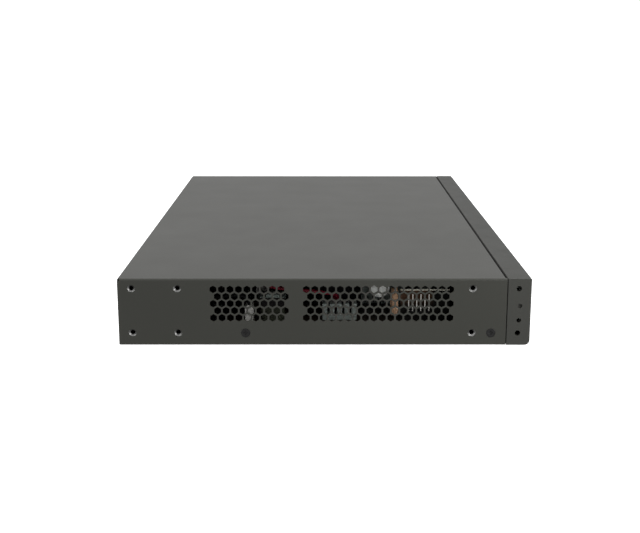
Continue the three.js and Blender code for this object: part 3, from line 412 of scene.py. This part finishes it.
def winding_copper():
    """Enamelled copper wire."""
    look = Look("winding_copper", roughness=0.4, metallic=0.15)
    look.feed("Base Color", look.tinted((0.5, 0.31, 0.19), 0.12, 260))
    look.set("Coat Weight", 0.3)
    look.feed("Roughness", look.remap(look.noise(500), 0.28, 0.42))
    return look.material


def pin_metal():
    """Tinned leads on a black strip."""
    look = Look("pin_metal", roughness=0.38, metallic=0.4)
    bright = look.tinted((0.88, 0.86, 0.8), 0.05, 300)
    leads = look.along("Z", 17.7, 17.9)
    look.feed("Base Color", look.mix(leads, grey(0.005), bright))
    look.feed("Roughness", look.remap(look.noise(900), 0.3, 0.46))
    return look.material


def capacitor_top(name, colour):
    """Pale etched aluminium of a capacitor's end."""
    look = Look(name, roughness=0.5, metallic=0.15)
    look.feed("Base Color", look.tinted(colour, 0.06, 300))
    look.feed("Roughness", look.remap(look.noise(800), 0.4, 0.55))
    return look.material


def winding_tape():
    """Black polyester tape in overlapping layers."""
    look = Look("winding_tape", roughness=0.6, specular=0.1)
    layers = look.noise(60, detail=1, vector=look.stretched((1, 1, 9)))
    colours = [(0.35, (0.004, 0.004, 0.005)), (0.65, (0.009, 0.009, 0.01))]
    look.feed("Base Color", look.ramp(layers, colours))
    look.bump(layers, 0.05)
    return look.material


def choke_bobbin():
    """Dark olive moulding, black tape above it, and a pale green-grey top that is a painted highlight for
    the light falling on its upper face.
    """
    look = Look("choke_bobbin", roughness=0.6, specular=0.2)
    olive = look.tinted((0.03, 0.034, 0.022), 0.2, 160)
    pale = look.tinted((0.2, 0.24, 0.22), 0.1, 240)
    # Painted highlight: the second mask, from 26 mm up, paints the top pale green-grey, lighter than the
    # dark sides, as light from above would make it.
    taped, core = look.along("Z", 18.3, 18.7), look.along("Z", 25.9, 26.3)
    body = look.mix(taped, olive, (0.006, 0.005, 0.005))
    look.feed("Base Color", look.mix(core, body, pale))
    look.bump(look.noise(1100), 0.01)
    return look.material


LOOKS = {
    "paint": powder_coat(),
    "bezel": bezel_plastic(),
    "steel": plated_steel(),
    # The rails' steel, dulled where it is drawn in round the bracket threads.
    "drawn_steel": bright_metal("drawn_steel", (0.25, 0.25, 0.245), 0.4, 0.5),
    "nickel": bright_metal("nickel_shield", (0.46, 0.455, 0.43), 0.26, 0.4),
    "gold": bright_metal("gold_contact", (0.83, 0.6, 0.22), 0.2, 0.3),
    "tin": pin_metal(),
    "oxide": black_oxide(),
    "aluminium": bright_metal("sink_aluminium", (0.28, 0.315, 0.295), 0.45, 0.6, metallic=0.5),
    "black": moulded("black_moulding", (0.018, 0.018, 0.019), 0.4, 0.55),
    "chip": moulded("chip_epoxy", (0.02, 0.02, 0.022), 0.45, 0.6),
    "white": moulded("white_nylon", (0.6, 0.595, 0.56), 0.35, 0.5),
    "button": moulded("button_grey", (0.2, 0.2, 0.195), 0.38, 0.5),
    "film": moulded("insulating_film", (0.03, 0.03, 0.027), 0.3, 0.45, grain=0.004),
    "sleeve": moulded(
        "capacitor_sleeve", (0.006, 0.007, 0.008), 0.5, 0.6, grain=0.003, specular=0.12,
    ),
    "ferrite": moulded("ferrite", (0.045, 0.045, 0.047), 0.5, 0.65),
    "lens": clear_lens(),
    "green_board": circuit_board(
        "green_board", mask=(0.008, 0.04, 0.018), track=(0.016, 0.06, 0.028), edge=(0.03, 0.04, 0.02),
    ),
    "brown_board": circuit_board(
        "brown_board", mask=(0.02, 0.013, 0.008), track=(0.03, 0.02, 0.012), edge=(0.02, 0.015, 0.01),
    ),
    "upright": upright_board(),
    "red": insulated("red_insulation", (0.2, 0.011, 0.027), 0.3),
    "wire_black": insulated("black_insulation", (0.006, 0.006, 0.006), 0.1),
    "earth": earth_insulation(),
    "copper": winding_copper(),
    "cap_top": capacitor_top("capacitor_top", (0.72, 0.73, 0.7)),
    "cap_rim": capacitor_top("capacitor_rim", (0.66, 0.67, 0.65)),
    "tape": winding_tape(),
    "bobbin": choke_bobbin(),
}

WELD_DISTANCE = 1e-6
SHARP_DEGREES = 32

# Each CAD node's look, and the width in millimetres that its sharp edges are rounded by.
NODE_FINISH = {
    "base_pan": ("steel", 0.12),
    "side_rail_left": ("drawn_steel", 0.1),
    "side_rail_right": ("drawn_steel", 0.1),
    "rear_panel": ("steel", 0.12),
    "top_cover": ("paint", 0.14),
    "front_bezel": ("bezel", 0.25),
    "front_panel": ("steel", 0.1),
    "jack_block_left": ("black", 0.1),
    "jack_block_right": ("black", 0.1),
    "sfp_cage": ("nickel", 0.08),
    "console_jack": ("black", 0.1),
    "status_light_pipe": ("lens", 0.12),
    "mode_button": ("button", 0.3),
    "reset_button": ("button", 0.2),
    "mode_switch": ("black", 0.1),
    "reset_switch": ("black", 0.1),
    "main_board": ("green_board", 0.05),
    "switch_chip": ("chip", 0.15),
    "switch_heatsink": ("aluminium", 0.12),
    "phy_chip_left": ("chip", 0.12),
    "phy_heatsink_left": ("aluminium", 0.1),
    "phy_chip_right": ("chip", 0.12),
    "phy_heatsink_right": ("aluminium", 0.1),
    "processor_chip": ("chip", 0.12),
    "memory_chip": ("chip", 0.1),
    "supply_header": ("white", 0.15),
    "fan_header_front": ("white", 0.12),
    "fan_header_rear": ("white", 0.12),
    "mains_header": ("white", 0.15),
    "line_filter": ("bobbin", 0.3),
    "bulk_capacitor": ("sleeve", 0.35),
    "output_capacitor": ("sleeve", 0.35),
    "rectifier_heatsink": ("aluminium", 0.2),
    "output_heatsink": ("aluminium", 0.15),
    "control_board": ("upright", 0.08),
    "control_pins": ("tin", 0.03),
    "supply_board": ("brown_board", 0.05),
    "supply_insulator": ("film", 0.03),
    "transformer": ("tape", 0.4),
    "mains_inlet": ("black", 0.2),
    "fan_frame_front": ("black", 0.3),
    "fan_rotor_front": ("black", 0.12),
    "fan_frame_rear": ("black", 0.3),
    "fan_rotor_rear": ("black", 0.12),
    "earth_screw": ("steel", 0.12),
    "inlet_screw_left": ("steel", 0.1),
    "inlet_screw_right": ("steel", 0.1),
    "cover_screw_left_front": ("oxide", 0.12),
    "cover_screw_left_rear": ("oxide", 0.12),
    "cover_screw_right_front": ("oxide", 0.12),
    "cover_screw_right_rear": ("oxide", 0.12),
}


def soften(piece, width):
    """Rounds the sharp edges and evens the shading, with modifiers only."""
    for polygon in piece.data.polygons:
        polygon.use_smooth = True
    weld = piece.modifiers.new("weld", "WELD")
    weld.merge_threshold = WELD_DISTANCE
    bevel = piece.modifiers.new("bevel", "BEVEL")
    bevel.width = width * MM
    bevel.segments = 2
    bevel.limit_method = "ANGLE"
    bevel.angle_limit = math.radians(SHARP_DEGREES)
    bevel.use_clamp_overlap = True
    even = piece.modifiers.new("even_normals", "WEIGHTED_NORMAL")
    even.keep_sharp = False
    even.weight = 90


def finish_nodes():
    for name, (look, width) in NODE_FINISH.items():
        node = NODES[name]
        node.data.materials.clear()
        node.data.materials.append(LOOKS[look])
        soften(node, width)


# ---- Mesh kit for the added pieces ----

ROUTE_STEPS = 8  # points on each span of a smoothed route


def add_piece(name, mesh, look, replaces=()):
    """A new piece that rides on the chassis, in place of the CAD nodes that it replaces."""
    piece = bpy.data.objects.new(name, mesh)
    bpy.context.scene.collection.objects.link(piece)
    mesh.materials.append(LOOKS[look])
    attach(piece, CHASSIS)
    if replaces:
        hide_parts(*replaces)
    return piece


def mesh_from(bm, name, smooth=True):
    bmesh.ops.recalc_face_normals(bm, faces=bm.faces)
    mesh = bpy.data.meshes.new(name)
    bm.to_mesh(mesh)
    bm.free()
    for polygon in mesh.polygons:
        polygon.use_smooth = smooth
    return mesh


def add_box(bm, low, high, bevel=0.0, matrix=None):
    """A box from corner to corner in millimetres, with its edges rounded."""
    verts = bmesh.ops.create_cube(bm, size=1)["verts"]
    low, high = place(*low), place(*high)
    for vert in verts:
        vert.co = Vector(low[i] if vert.co[i] < 0 else high[i] for i in range(3))
    if bevel:
        edges = list({edge for vert in verts for edge in vert.link_edges})
        made = bmesh.ops.bevel(
            bm, geom=edges, offset=bevel * MM, segments=2, affect="EDGES", profile=0.6,
        )
        verts = list({*made["verts"], *(vert for face in made["faces"] for vert in face.verts)})
    if matrix is not None:
        bmesh.ops.transform(bm, matrix=matrix, verts=verts)


def add_turned(bm, profile, matrix, segments):
    """A turned shape about Z from (radius, height) points in millimetres; radius 0 closes an end."""
    rings = []
    for radius, height in profile:
        if radius == 0:
            rings.append([bm.verts.new(matrix @ place(0, 0, height))])
            continue
        angles = [2 * math.pi * i / segments for i in range(segments)]
        points = [place(radius * math.cos(a), radius * math.sin(a), height) for a in angles]
        rings.append([bm.verts.new(matrix @ point) for point in points])
    for low, high in zip(rings, rings[1:]):
        for i in range(segments):
            j = (i + 1) % segments
            below = [low[i % len(low)], low[j % len(low)]]
            above = [high[j % len(high)], high[i % len(high)]]
            face = list(dict.fromkeys([*below, *above]))
            if len(face) > 2:
                bm.faces.new(face)


def smooth_route(points):
    """Catmull-Rom points through a given route."""
    ends = [points[0] * 2 - points[1], *points, points[-1] * 2 - points[-2]]
    route = []
    for a, b, c, d in zip(ends, ends[1:], ends[2:], ends[3:]):
        for i in range(ROUTE_STEPS):
            t = i / ROUTE_STEPS
            route.append(0.5 * (2 * b + (c - a) * t + (2 * a - 5 * b + 4 * c - d) * t * t
                                + (3 * b - a - 3 * c + d) * t ** 3))
    return [*route, points[-1]]


def heading(route, i):
    """From the point before to the point after one point of a route."""
    return route[min(i + 1, len(route) - 1)] - route[max(i - 1, 0)]


def add_tube(bm, route, radius, sides=12):
    """A round tube along a route, its frame carried along without twisting."""
    angles = [2 * math.pi * i / sides for i in range(sides)]
    across = heading(route, 0).normalized().orthogonal().normalized()
    rings = []
    for i, point in enumerate(route):
        tangent = heading(route, i).normalized()
        across = (across - tangent * across.dot(tangent)).normalized()
        other = tangent.cross(across)
        outward = [across * math.cos(a) + other * math.sin(a) for a in angles]
        rings.append([bm.verts.new(point + direction * radius) for direction in outward])
    for low, high in zip(rings, rings[1:]):
        for i in range(sides):
            j = (i + 1) % sides
            bm.faces.new((low[i], low[j], high[j], high[i]))
    bm.faces.new(rings[0])
    bm.faces.new(rings[-1])


def plate_mesh(name, outlines, thickness, bevel):
    """A flat plate in the XY plane, in millimetres: the first outline is its edge, the rest are holes."""
    data = bpy.data.curves.new(name, "CURVE")
    data.dimensions = "2D"
    data.fill_mode = "BOTH"
    data.extrude = (thickness / 2 - bevel) * MM
    data.bevel_depth = bevel * MM
    data.bevel_resolution = 1
    data.offset = -bevel * MM
    for outline in outlines:
        spline = data.splines.new("POLY")
        spline.points.add(len(outline) - 1)
        for point, (x, y) in zip(spline.points, outline):
            point.co = (x * MM, y * MM, 0, 1)
        spline.use_cyclic_u = True
    helper = bpy.data.objects.new(name, data)
    bpy.context.scene.collection.objects.link(helper)
    graph = bpy.context.evaluated_depsgraph_get()
    mesh = bpy.data.meshes.new_from_object(helper.evaluated_get(graph))
    bpy.data.objects.remove(helper)
    bpy.data.curves.remove(data)
    return mesh


# ---- Added pieces, in millimetres ----

SIDE = 220
REAR = 133
FACE_Y = -132.7
ON_BOARD = 8.1
PORT_PITCH = 13.97
PORT_HALF = 5.95
LOWER_PORT_TOP = ON_BOARD + 12.2
UPPER_PORT_BOTTOM = ON_BOARD + 14
JACK_COLUMNS = 6
CONTACTS = 8
CONTACT_PITCH = 1.02
CONTACT_RADIUS = 0.22
FACE_SHIELD = 0.25
SHIELD_GAP = 0.02
SHIELD_INSET = 0.1
SHIELD_CLEARANCE = 0.22
LIGHT_INNER = 3.6
LIGHT_OUTER = 6.0
LIGHT_NEAR = 8.75
LIGHT_FAR = 10.35
BAYS = 4
BAY_PITCH = 14.4
BAY_HEIGHT = 8.8
CAGE_WALL = 0.7
HOST_CONTACTS = 10
HOST_PITCH = 0.8
MAINS_LEAD_RADIUS = 1.2
SUPPLY_LEAD_RADIUS = 1.07
SUPPLY_LEAD_SPREAD = 2.15
FAN_LEAD_RADIUS = 1.3
FAN_PLACES = {"front": -44, "rear": 2}
BULK_RADIUS = 6.8
CAN_SEGMENTS = 40
TOROID_BORE_RADIUS = 4.2
TOROID_WIRE_RADIUS = 0.5
TOROID_TURNS = 56


def port_outline(x, z, up, grow):
    """One port's mouth: the plug's body, with the latch slot in two steps away from the contacts."""
    steps = ((PORT_HALF + grow, 8), (3.1 + grow, 1.5), (2 + grow, 1.4))
    right, height = [], -grow
    for index, (reach, rise) in enumerate(steps):
        ends = (index == 0) + (index == len(steps) - 1)
        top = height + rise + ends * grow
        right += [(reach, height), (reach, top)]
        height = top
    outline = right + [(-px, pz) for px, pz in reversed(right)]
    return [(x + px, z + (pz if up else -pz)) for px, pz in outline]


def ports_of(node, columns, stacked):
    """(x, z, up) of each port in a jack block, from the block's own box."""
    low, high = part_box(node)
    middle = (low[0] + high[0]) / 2 / MM
    columns_x = [middle + (i - (columns - 1) / 2) * PORT_PITCH for i in range(columns)]
    rows = [(LOWER_PORT_TOP, False)]
    if stacked:
        rows.append((UPPER_PORT_BOTTOM, True))
    return [(x, z, up) for x in columns_x for z, up in rows]


def face_plate(name, node, ports):
    """The plated shield over a jack's front, with a hole round each port."""
    low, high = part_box(node)
    x0, x1 = low[0] / MM + SHIELD_INSET, high[0] / MM - SHIELD_INSET
    z0, z1 = low[2] / MM + SHIELD_INSET, high[2] / MM - SHIELD_INSET
    edge = [(x0, z0), (x1, z0), (x1, z1), (x0, z1)]
    holes = [port_outline(x, z, up, SHIELD_CLEARANCE) for x, z, up in ports]
    mesh = plate_mesh(name, [edge, *holes], FACE_SHIELD, 0.05)
    forward = Matrix.Translation(place(0, FACE_Y - FACE_SHIELD / 2 - SHIELD_GAP, 0))
    mesh.transform(forward @ Matrix.Rotation(math.pi / 2, 4, "X"))
    add_piece(name, mesh, "nickel")


def jack_contacts(name, ports):
    """Eight gold springs in each port, slanting in from the side away from the latch."""
    bm = bmesh.new()
    spring = ((1.6, 0.35), (3.2, 0.7), (9.5, 3.1), (11, 3.2), (12, 2.4))
    for x, z, up in ports:
        away = 1 if up else -1
        for i in range(CONTACTS):
            cx = x + (i - (CONTACTS - 1) / 2) * CONTACT_PITCH
            route = [place(cx, FACE_Y + inward, z + rise * away) for inward, rise in spring]
            add_tube(bm, route, CONTACT_RADIUS * MM, sides=6)
    add_piece(name, mesh_from(bm, name), "gold")


def port_lights(name, ports):
    """A pair of small light windows beside each latch slot."""
    bm = bmesh.new()
    for x, z, up in ports:
        away = 1 if up else -1
        low, high = sorted((z + away * LIGHT_NEAR, z + away * LIGHT_FAR))
        for side in (-1, 1):
            x0, x1 = sorted((x + side * LIGHT_INNER, x + side * LIGHT_OUTER))
            add_box(bm, (x0, FACE_Y - 0.32, low), (x1, FACE_Y + 0.4, high), 0.12)
    add_piece(name, mesh_from(bm, name, smooth=False), "lens")


def add_jack_details():
    for side in ("left", "right"):
        node = f"jack_block_{side}"
        ports = ports_of(node, JACK_COLUMNS, True)
        face_plate(f"jack_shield_{side}", node, ports)
        jack_contacts(f"jack_contacts_{side}", ports)
        port_lights(f"port_lights_{side}", ports)
    ports = ports_of("console_jack", 1, False)
    face_plate("console_shield", "console_jack", ports)
    jack_contacts("console_contacts", ports)


def optical_bays():
    """(left, right, bottom, top) of each bay in the cage, in millimetres."""
    low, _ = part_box("sfp_cage")
    x0, z0 = low[0] / MM, low[2] / MM + CAGE_WALL
    z1 = z0 + BAY_HEIGHT
    return [(x0 + CAGE_WALL + i * BAY_PITCH, x0 + (i + 1) * BAY_PITCH, z0, z1) for i in range(BAYS)]


def add_optical_details():
    """Spring fingers inside each bay's mouth, and the connector and its contacts at the bay's back."""
    fingers, hosts, pads = bmesh.new(), bmesh.new(), bmesh.new()
    spring = ((0.3, 0.12), (1.6, 0.55), (4, 0.5), (6, 0.15))
    finger_half, finger_half_thick = 0.95, 0.06
    for x0, x1, z0, z1 in optical_bays():
        for i in range(4):
            cx = x0 + (i + 0.5) * (x1 - x0) / 4
            for wall, into in ((z0, 1), (z1, -1)):
                route = [place(cx, FACE_Y + inward, wall + rise * into) for inward, rise in spring]
                for a, b in zip(route, route[1:]):
                    low = [min(a[k], b[k]) / MM for k in range(3)]
                    high = [max(a[k], b[k]) / MM for k in range(3)]
                    bottom, top = low[2] - finger_half_thick, high[2] + finger_half_thick
                    add_box(fingers, (cx - finger_half, low[1], bottom), (cx + finger_half, high[1], top))
        middle = (x0 + x1) / 2
        add_box(hosts, (middle - 5.2, -92, z0 + 0.8), (middle + 5.2, -87.6, z0 + 5.4), 0.3)
        for i in range(HOST_CONTACTS):
            cx = middle + (i - (HOST_CONTACTS - 1) / 2) * HOST_PITCH
            add_box(pads, (cx - 0.25, -92.25, z0 + 2.2), (cx + 0.25, -91.9, z0 + 3.9))
    made = (("optical_spring_fingers", fingers, "nickel", "connector_shield"),
            ("optical_host_connectors", hosts, "black", "black_plastic"),
            ("optical_host_contacts", pads, "gold", "connector_shield"))
    for name, bm, look, slot in made:
        add_piece(name, mesh_from(bm, name, smooth=False), look)


def add_optical_lights():
    """Two small lenses over each optical bay, in the bar along the top of the cage."""
    bm = bmesh.new()
    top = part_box("sfp_cage")[1][2] / MM
    for x0, x1, _, _ in optical_bays():
        for share in (0.3, 0.7):
            cx = x0 + share * (x1 - x0)
            add_box(bm, (cx - 1.3, FACE_Y - 0.25, top - 2.6), (cx + 1.3, FACE_Y + 0.4, top - 1.4), 0.12)
    add_piece("optical_lights", mesh_from(bm, "optical_lights", smooth=False), "lens")


def from_rear_left(points):
    """Points stated as (distance from the left side, -distance from the rear, height)."""
    return [place(x - SIDE, y + REAR, z) for x, y, z in points]


def beside(route, shift):
    """A route moved sideways in plan, to lie beside the first one."""
    moved = []
    for i, point in enumerate(route):
        along = heading(route, i).to_2d().normalized()
        moved.append(point + Vector((-along.y, along.x, 0)) * shift * MM)
    return moved


def add_lead(node, route, radius, look):
    bm = bmesh.new()
    add_tube(bm, smooth_route(route), radius * MM)
    name = f"{node}_insulation"
    add_piece(name, mesh_from(bm, name), look, replaces=(node,))


def add_leads():
    live = from_rear_left([
        (28, -32.4, 20), (27.5, -40, 20.4), (24.5, -55, 24), (23, -72, 27), (23, -82, 25), (23, -83.3, 17.5),
    ])
    neutral = from_rear_left([
        (42, -32.4, 20), (41, -40, 20.4), (34, -55, 23), (29.5, -70, 26), (29, -81, 25), (29, -83.3, 17.5),
    ])
    earth = from_rear_left([
        (35, -32.4, 24.5), (35, -42, 26), (50, -50, 28), (76, -38, 27), (82, -20, 23.5), (82, -10.4, 22),
    ])
    add_lead("live_lead", live, MAINS_LEAD_RADIUS, "wire_black")
    add_lead("neutral_lead", neutral, MAINS_LEAD_RADIUS, "wire_black")
    add_lead("earth_lead", earth, MAINS_LEAD_RADIUS, "earth")
    output = from_rear_left([
        (40.4, -140, 10.2), (40.2, -140, 16), (38, -140, 21.6), (32, -138.4, 25.4), (26, -133.5, 28.2),
        (21.6, -126, 30.4), (19.8, -116, 32), (20.6, -105, 33), (24.5, -96.5, 33.8), (34, -90.5, 34.2),
        (60, -88, 34.4), (92, -88, 31.5), (104, -88, 24), (107, -88, 14.5),
    ])
    threads = (
        ("negative", "wire_black", "black_insulation"),
        ("sense", "red", "red_insulation"),
        ("positive", "red", "red_insulation"),
    )
    for i, (name, look, slot) in enumerate(threads):
        route = beside(output, (i - 1) * SUPPLY_LEAD_SPREAD)
        add_lead(f"supply_lead_{name}", route, SUPPLY_LEAD_RADIUS, look)
    for fan, y in FAN_PLACES.items():
        route = [
            place(196.7, y - 17.5, 6.5), place(190, y - 18, 7), place(182, y - 16, 12),
            place(172, y - 14.5, 20), place(168, y - 14, 18), place(168, y - 14, 12.4),
        ]
        add_lead(f"fan_lead_{fan}", route, FAN_LEAD_RADIUS, "wire_black")


def add_plug(name, node, rise, inset):
    """The white plug that sits in a header, its top above the shroud and its sides inside the wall."""
    low, high = ([v / MM for v in corner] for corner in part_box(node))
    bottom = (low[2] + high[2]) / 2 + 0.2
    bm = bmesh.new()
    add_box(bm, (low[0] + inset, low[1] + inset, bottom),
            (high[0] - inset, high[1] - inset, high[2] + rise), 0.3)
    add_piece(name, mesh_from(bm, name, smooth=False), "white")


def add_capacitor_end(name, at, radius):
    """The pale scored end of a can, set in its crimped rim. The matrix puts it on the can, facing +Z."""
    bm = bmesh.new()
    reach = radius - 1.05
    profile = [
        (0, -0.44), (reach, -0.44), (reach, -0.2), (reach - 0.3, -0.04), (reach - 0.8, -0.08), (0, -0.1),
    ]
    add_turned(bm, profile, at, CAN_SEGMENTS)
    for turn in range(3):
        ridge = at @ Matrix.Rotation(math.radians(120 * turn), 4, "Z")
        add_box(bm, (0.5, -0.16, -0.12), (reach - 1.2, 0.16, -0.03), 0.03, ridge)
    add_piece(name, mesh_from(bm, name), "cap_top")


def add_crimp(name, at, radius):
    """The bare rim of the can, rolled over the edge of its sleeve."""
    bm = bmesh.new()
    profile = [
        (radius - 1.02, -0.5), (radius - 1.02, 0.06), (radius - 0.75, 0.16), (radius - 0.3, 0.1),
        (radius + 0.04, -0.15), (radius + 0.06, -0.75), (radius - 0.2, -0.75),
    ]
    add_turned(bm, [*profile, profile[0]], at, CAN_SEGMENTS)
    add_piece(name, mesh_from(bm, name), "cap_rim")


def add_capacitors():
    low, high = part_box("bulk_capacitor")
    middle = (low[1] + high[1]) / 2 / MM
    at = Matrix.Translation(place(low[0] / MM, middle, high[2] / MM - BULK_RADIUS))
    lying = at @ Matrix.Rotation(-math.pi / 2, 4, "Y")
    add_capacitor_end("bulk_capacitor_end", lying, BULK_RADIUS)
    add_crimp("bulk_capacitor_rim", lying, BULK_RADIUS)
    low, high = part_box("output_capacitor")
    x, y = (low[0] + high[0]) / 2 / MM, (low[1] + high[1]) / 2 / MM
    standing = Matrix.Translation(place(x, y, high[2] / MM))
    add_capacitor_end("output_capacitor_end", standing, (high[1] - low[1]) / 2 / MM)


def add_toroid():
    """A ring core with its turns of enamelled wire, in place of the plain ring."""
    low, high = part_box("toroid_choke")
    middle = (Vector(low) + Vector(high)) / 2
    outer, half = (high[0] - low[0]) / 2, (high[1] - low[1]) / 2
    inner, wire = TOROID_BORE_RADIUS * MM, TOROID_WIRE_RADIUS * MM
    radius, reach, width = (inner + outer) / 2, (outer - inner) / 2 - wire, half - wire
    corners = [(-1, -1), (1, -1), (1, 1), (-1, 1), (-1, -1)]
    profile = [(radius + a * (reach - wire), b * (width - wire)) for a, b in corners]
    to_axis = Matrix.Translation(middle) @ Matrix.Rotation(math.pi / 2, 4, "X")
    core, winding = bmesh.new(), bmesh.new()
    add_turned(core, [(r / MM, h / MM) for r, h in profile], to_axis, 48)
    for i in range(TOROID_TURNS):
        spin = to_axis @ Matrix.Rotation(2 * math.pi * (i + 0.5) / TOROID_TURNS, 4, "Z")
        loop = [spin @ Vector((radius + a * reach, 0, b * width)) for a, b in corners]
        add_tube(winding, loop, wire, sides=8)
    add_piece("toroid_core", mesh_from(core, "toroid_core", smooth=False), "ferrite")
    mesh = mesh_from(winding, "toroid_winding")
    add_piece("toroid_winding", mesh, "copper", replaces=("toroid_choke",))


make_camera()
make_stage()
finish_nodes()
add_jack_details()
add_optical_details()
add_optical_lights()
add_leads()
add_plug("mains_plug", "mains_header", rise=0.5, inset=1.2)
add_plug("supply_plug", "supply_header", rise=3.5, inset=1.2)
add_plug("fan_plug_front", "fan_header_front", rise=1.5, inset=1.05)
add_plug("fan_plug_rear", "fan_header_rear", rise=1.5, inset=1.05)
add_capacitors()
add_toroid()
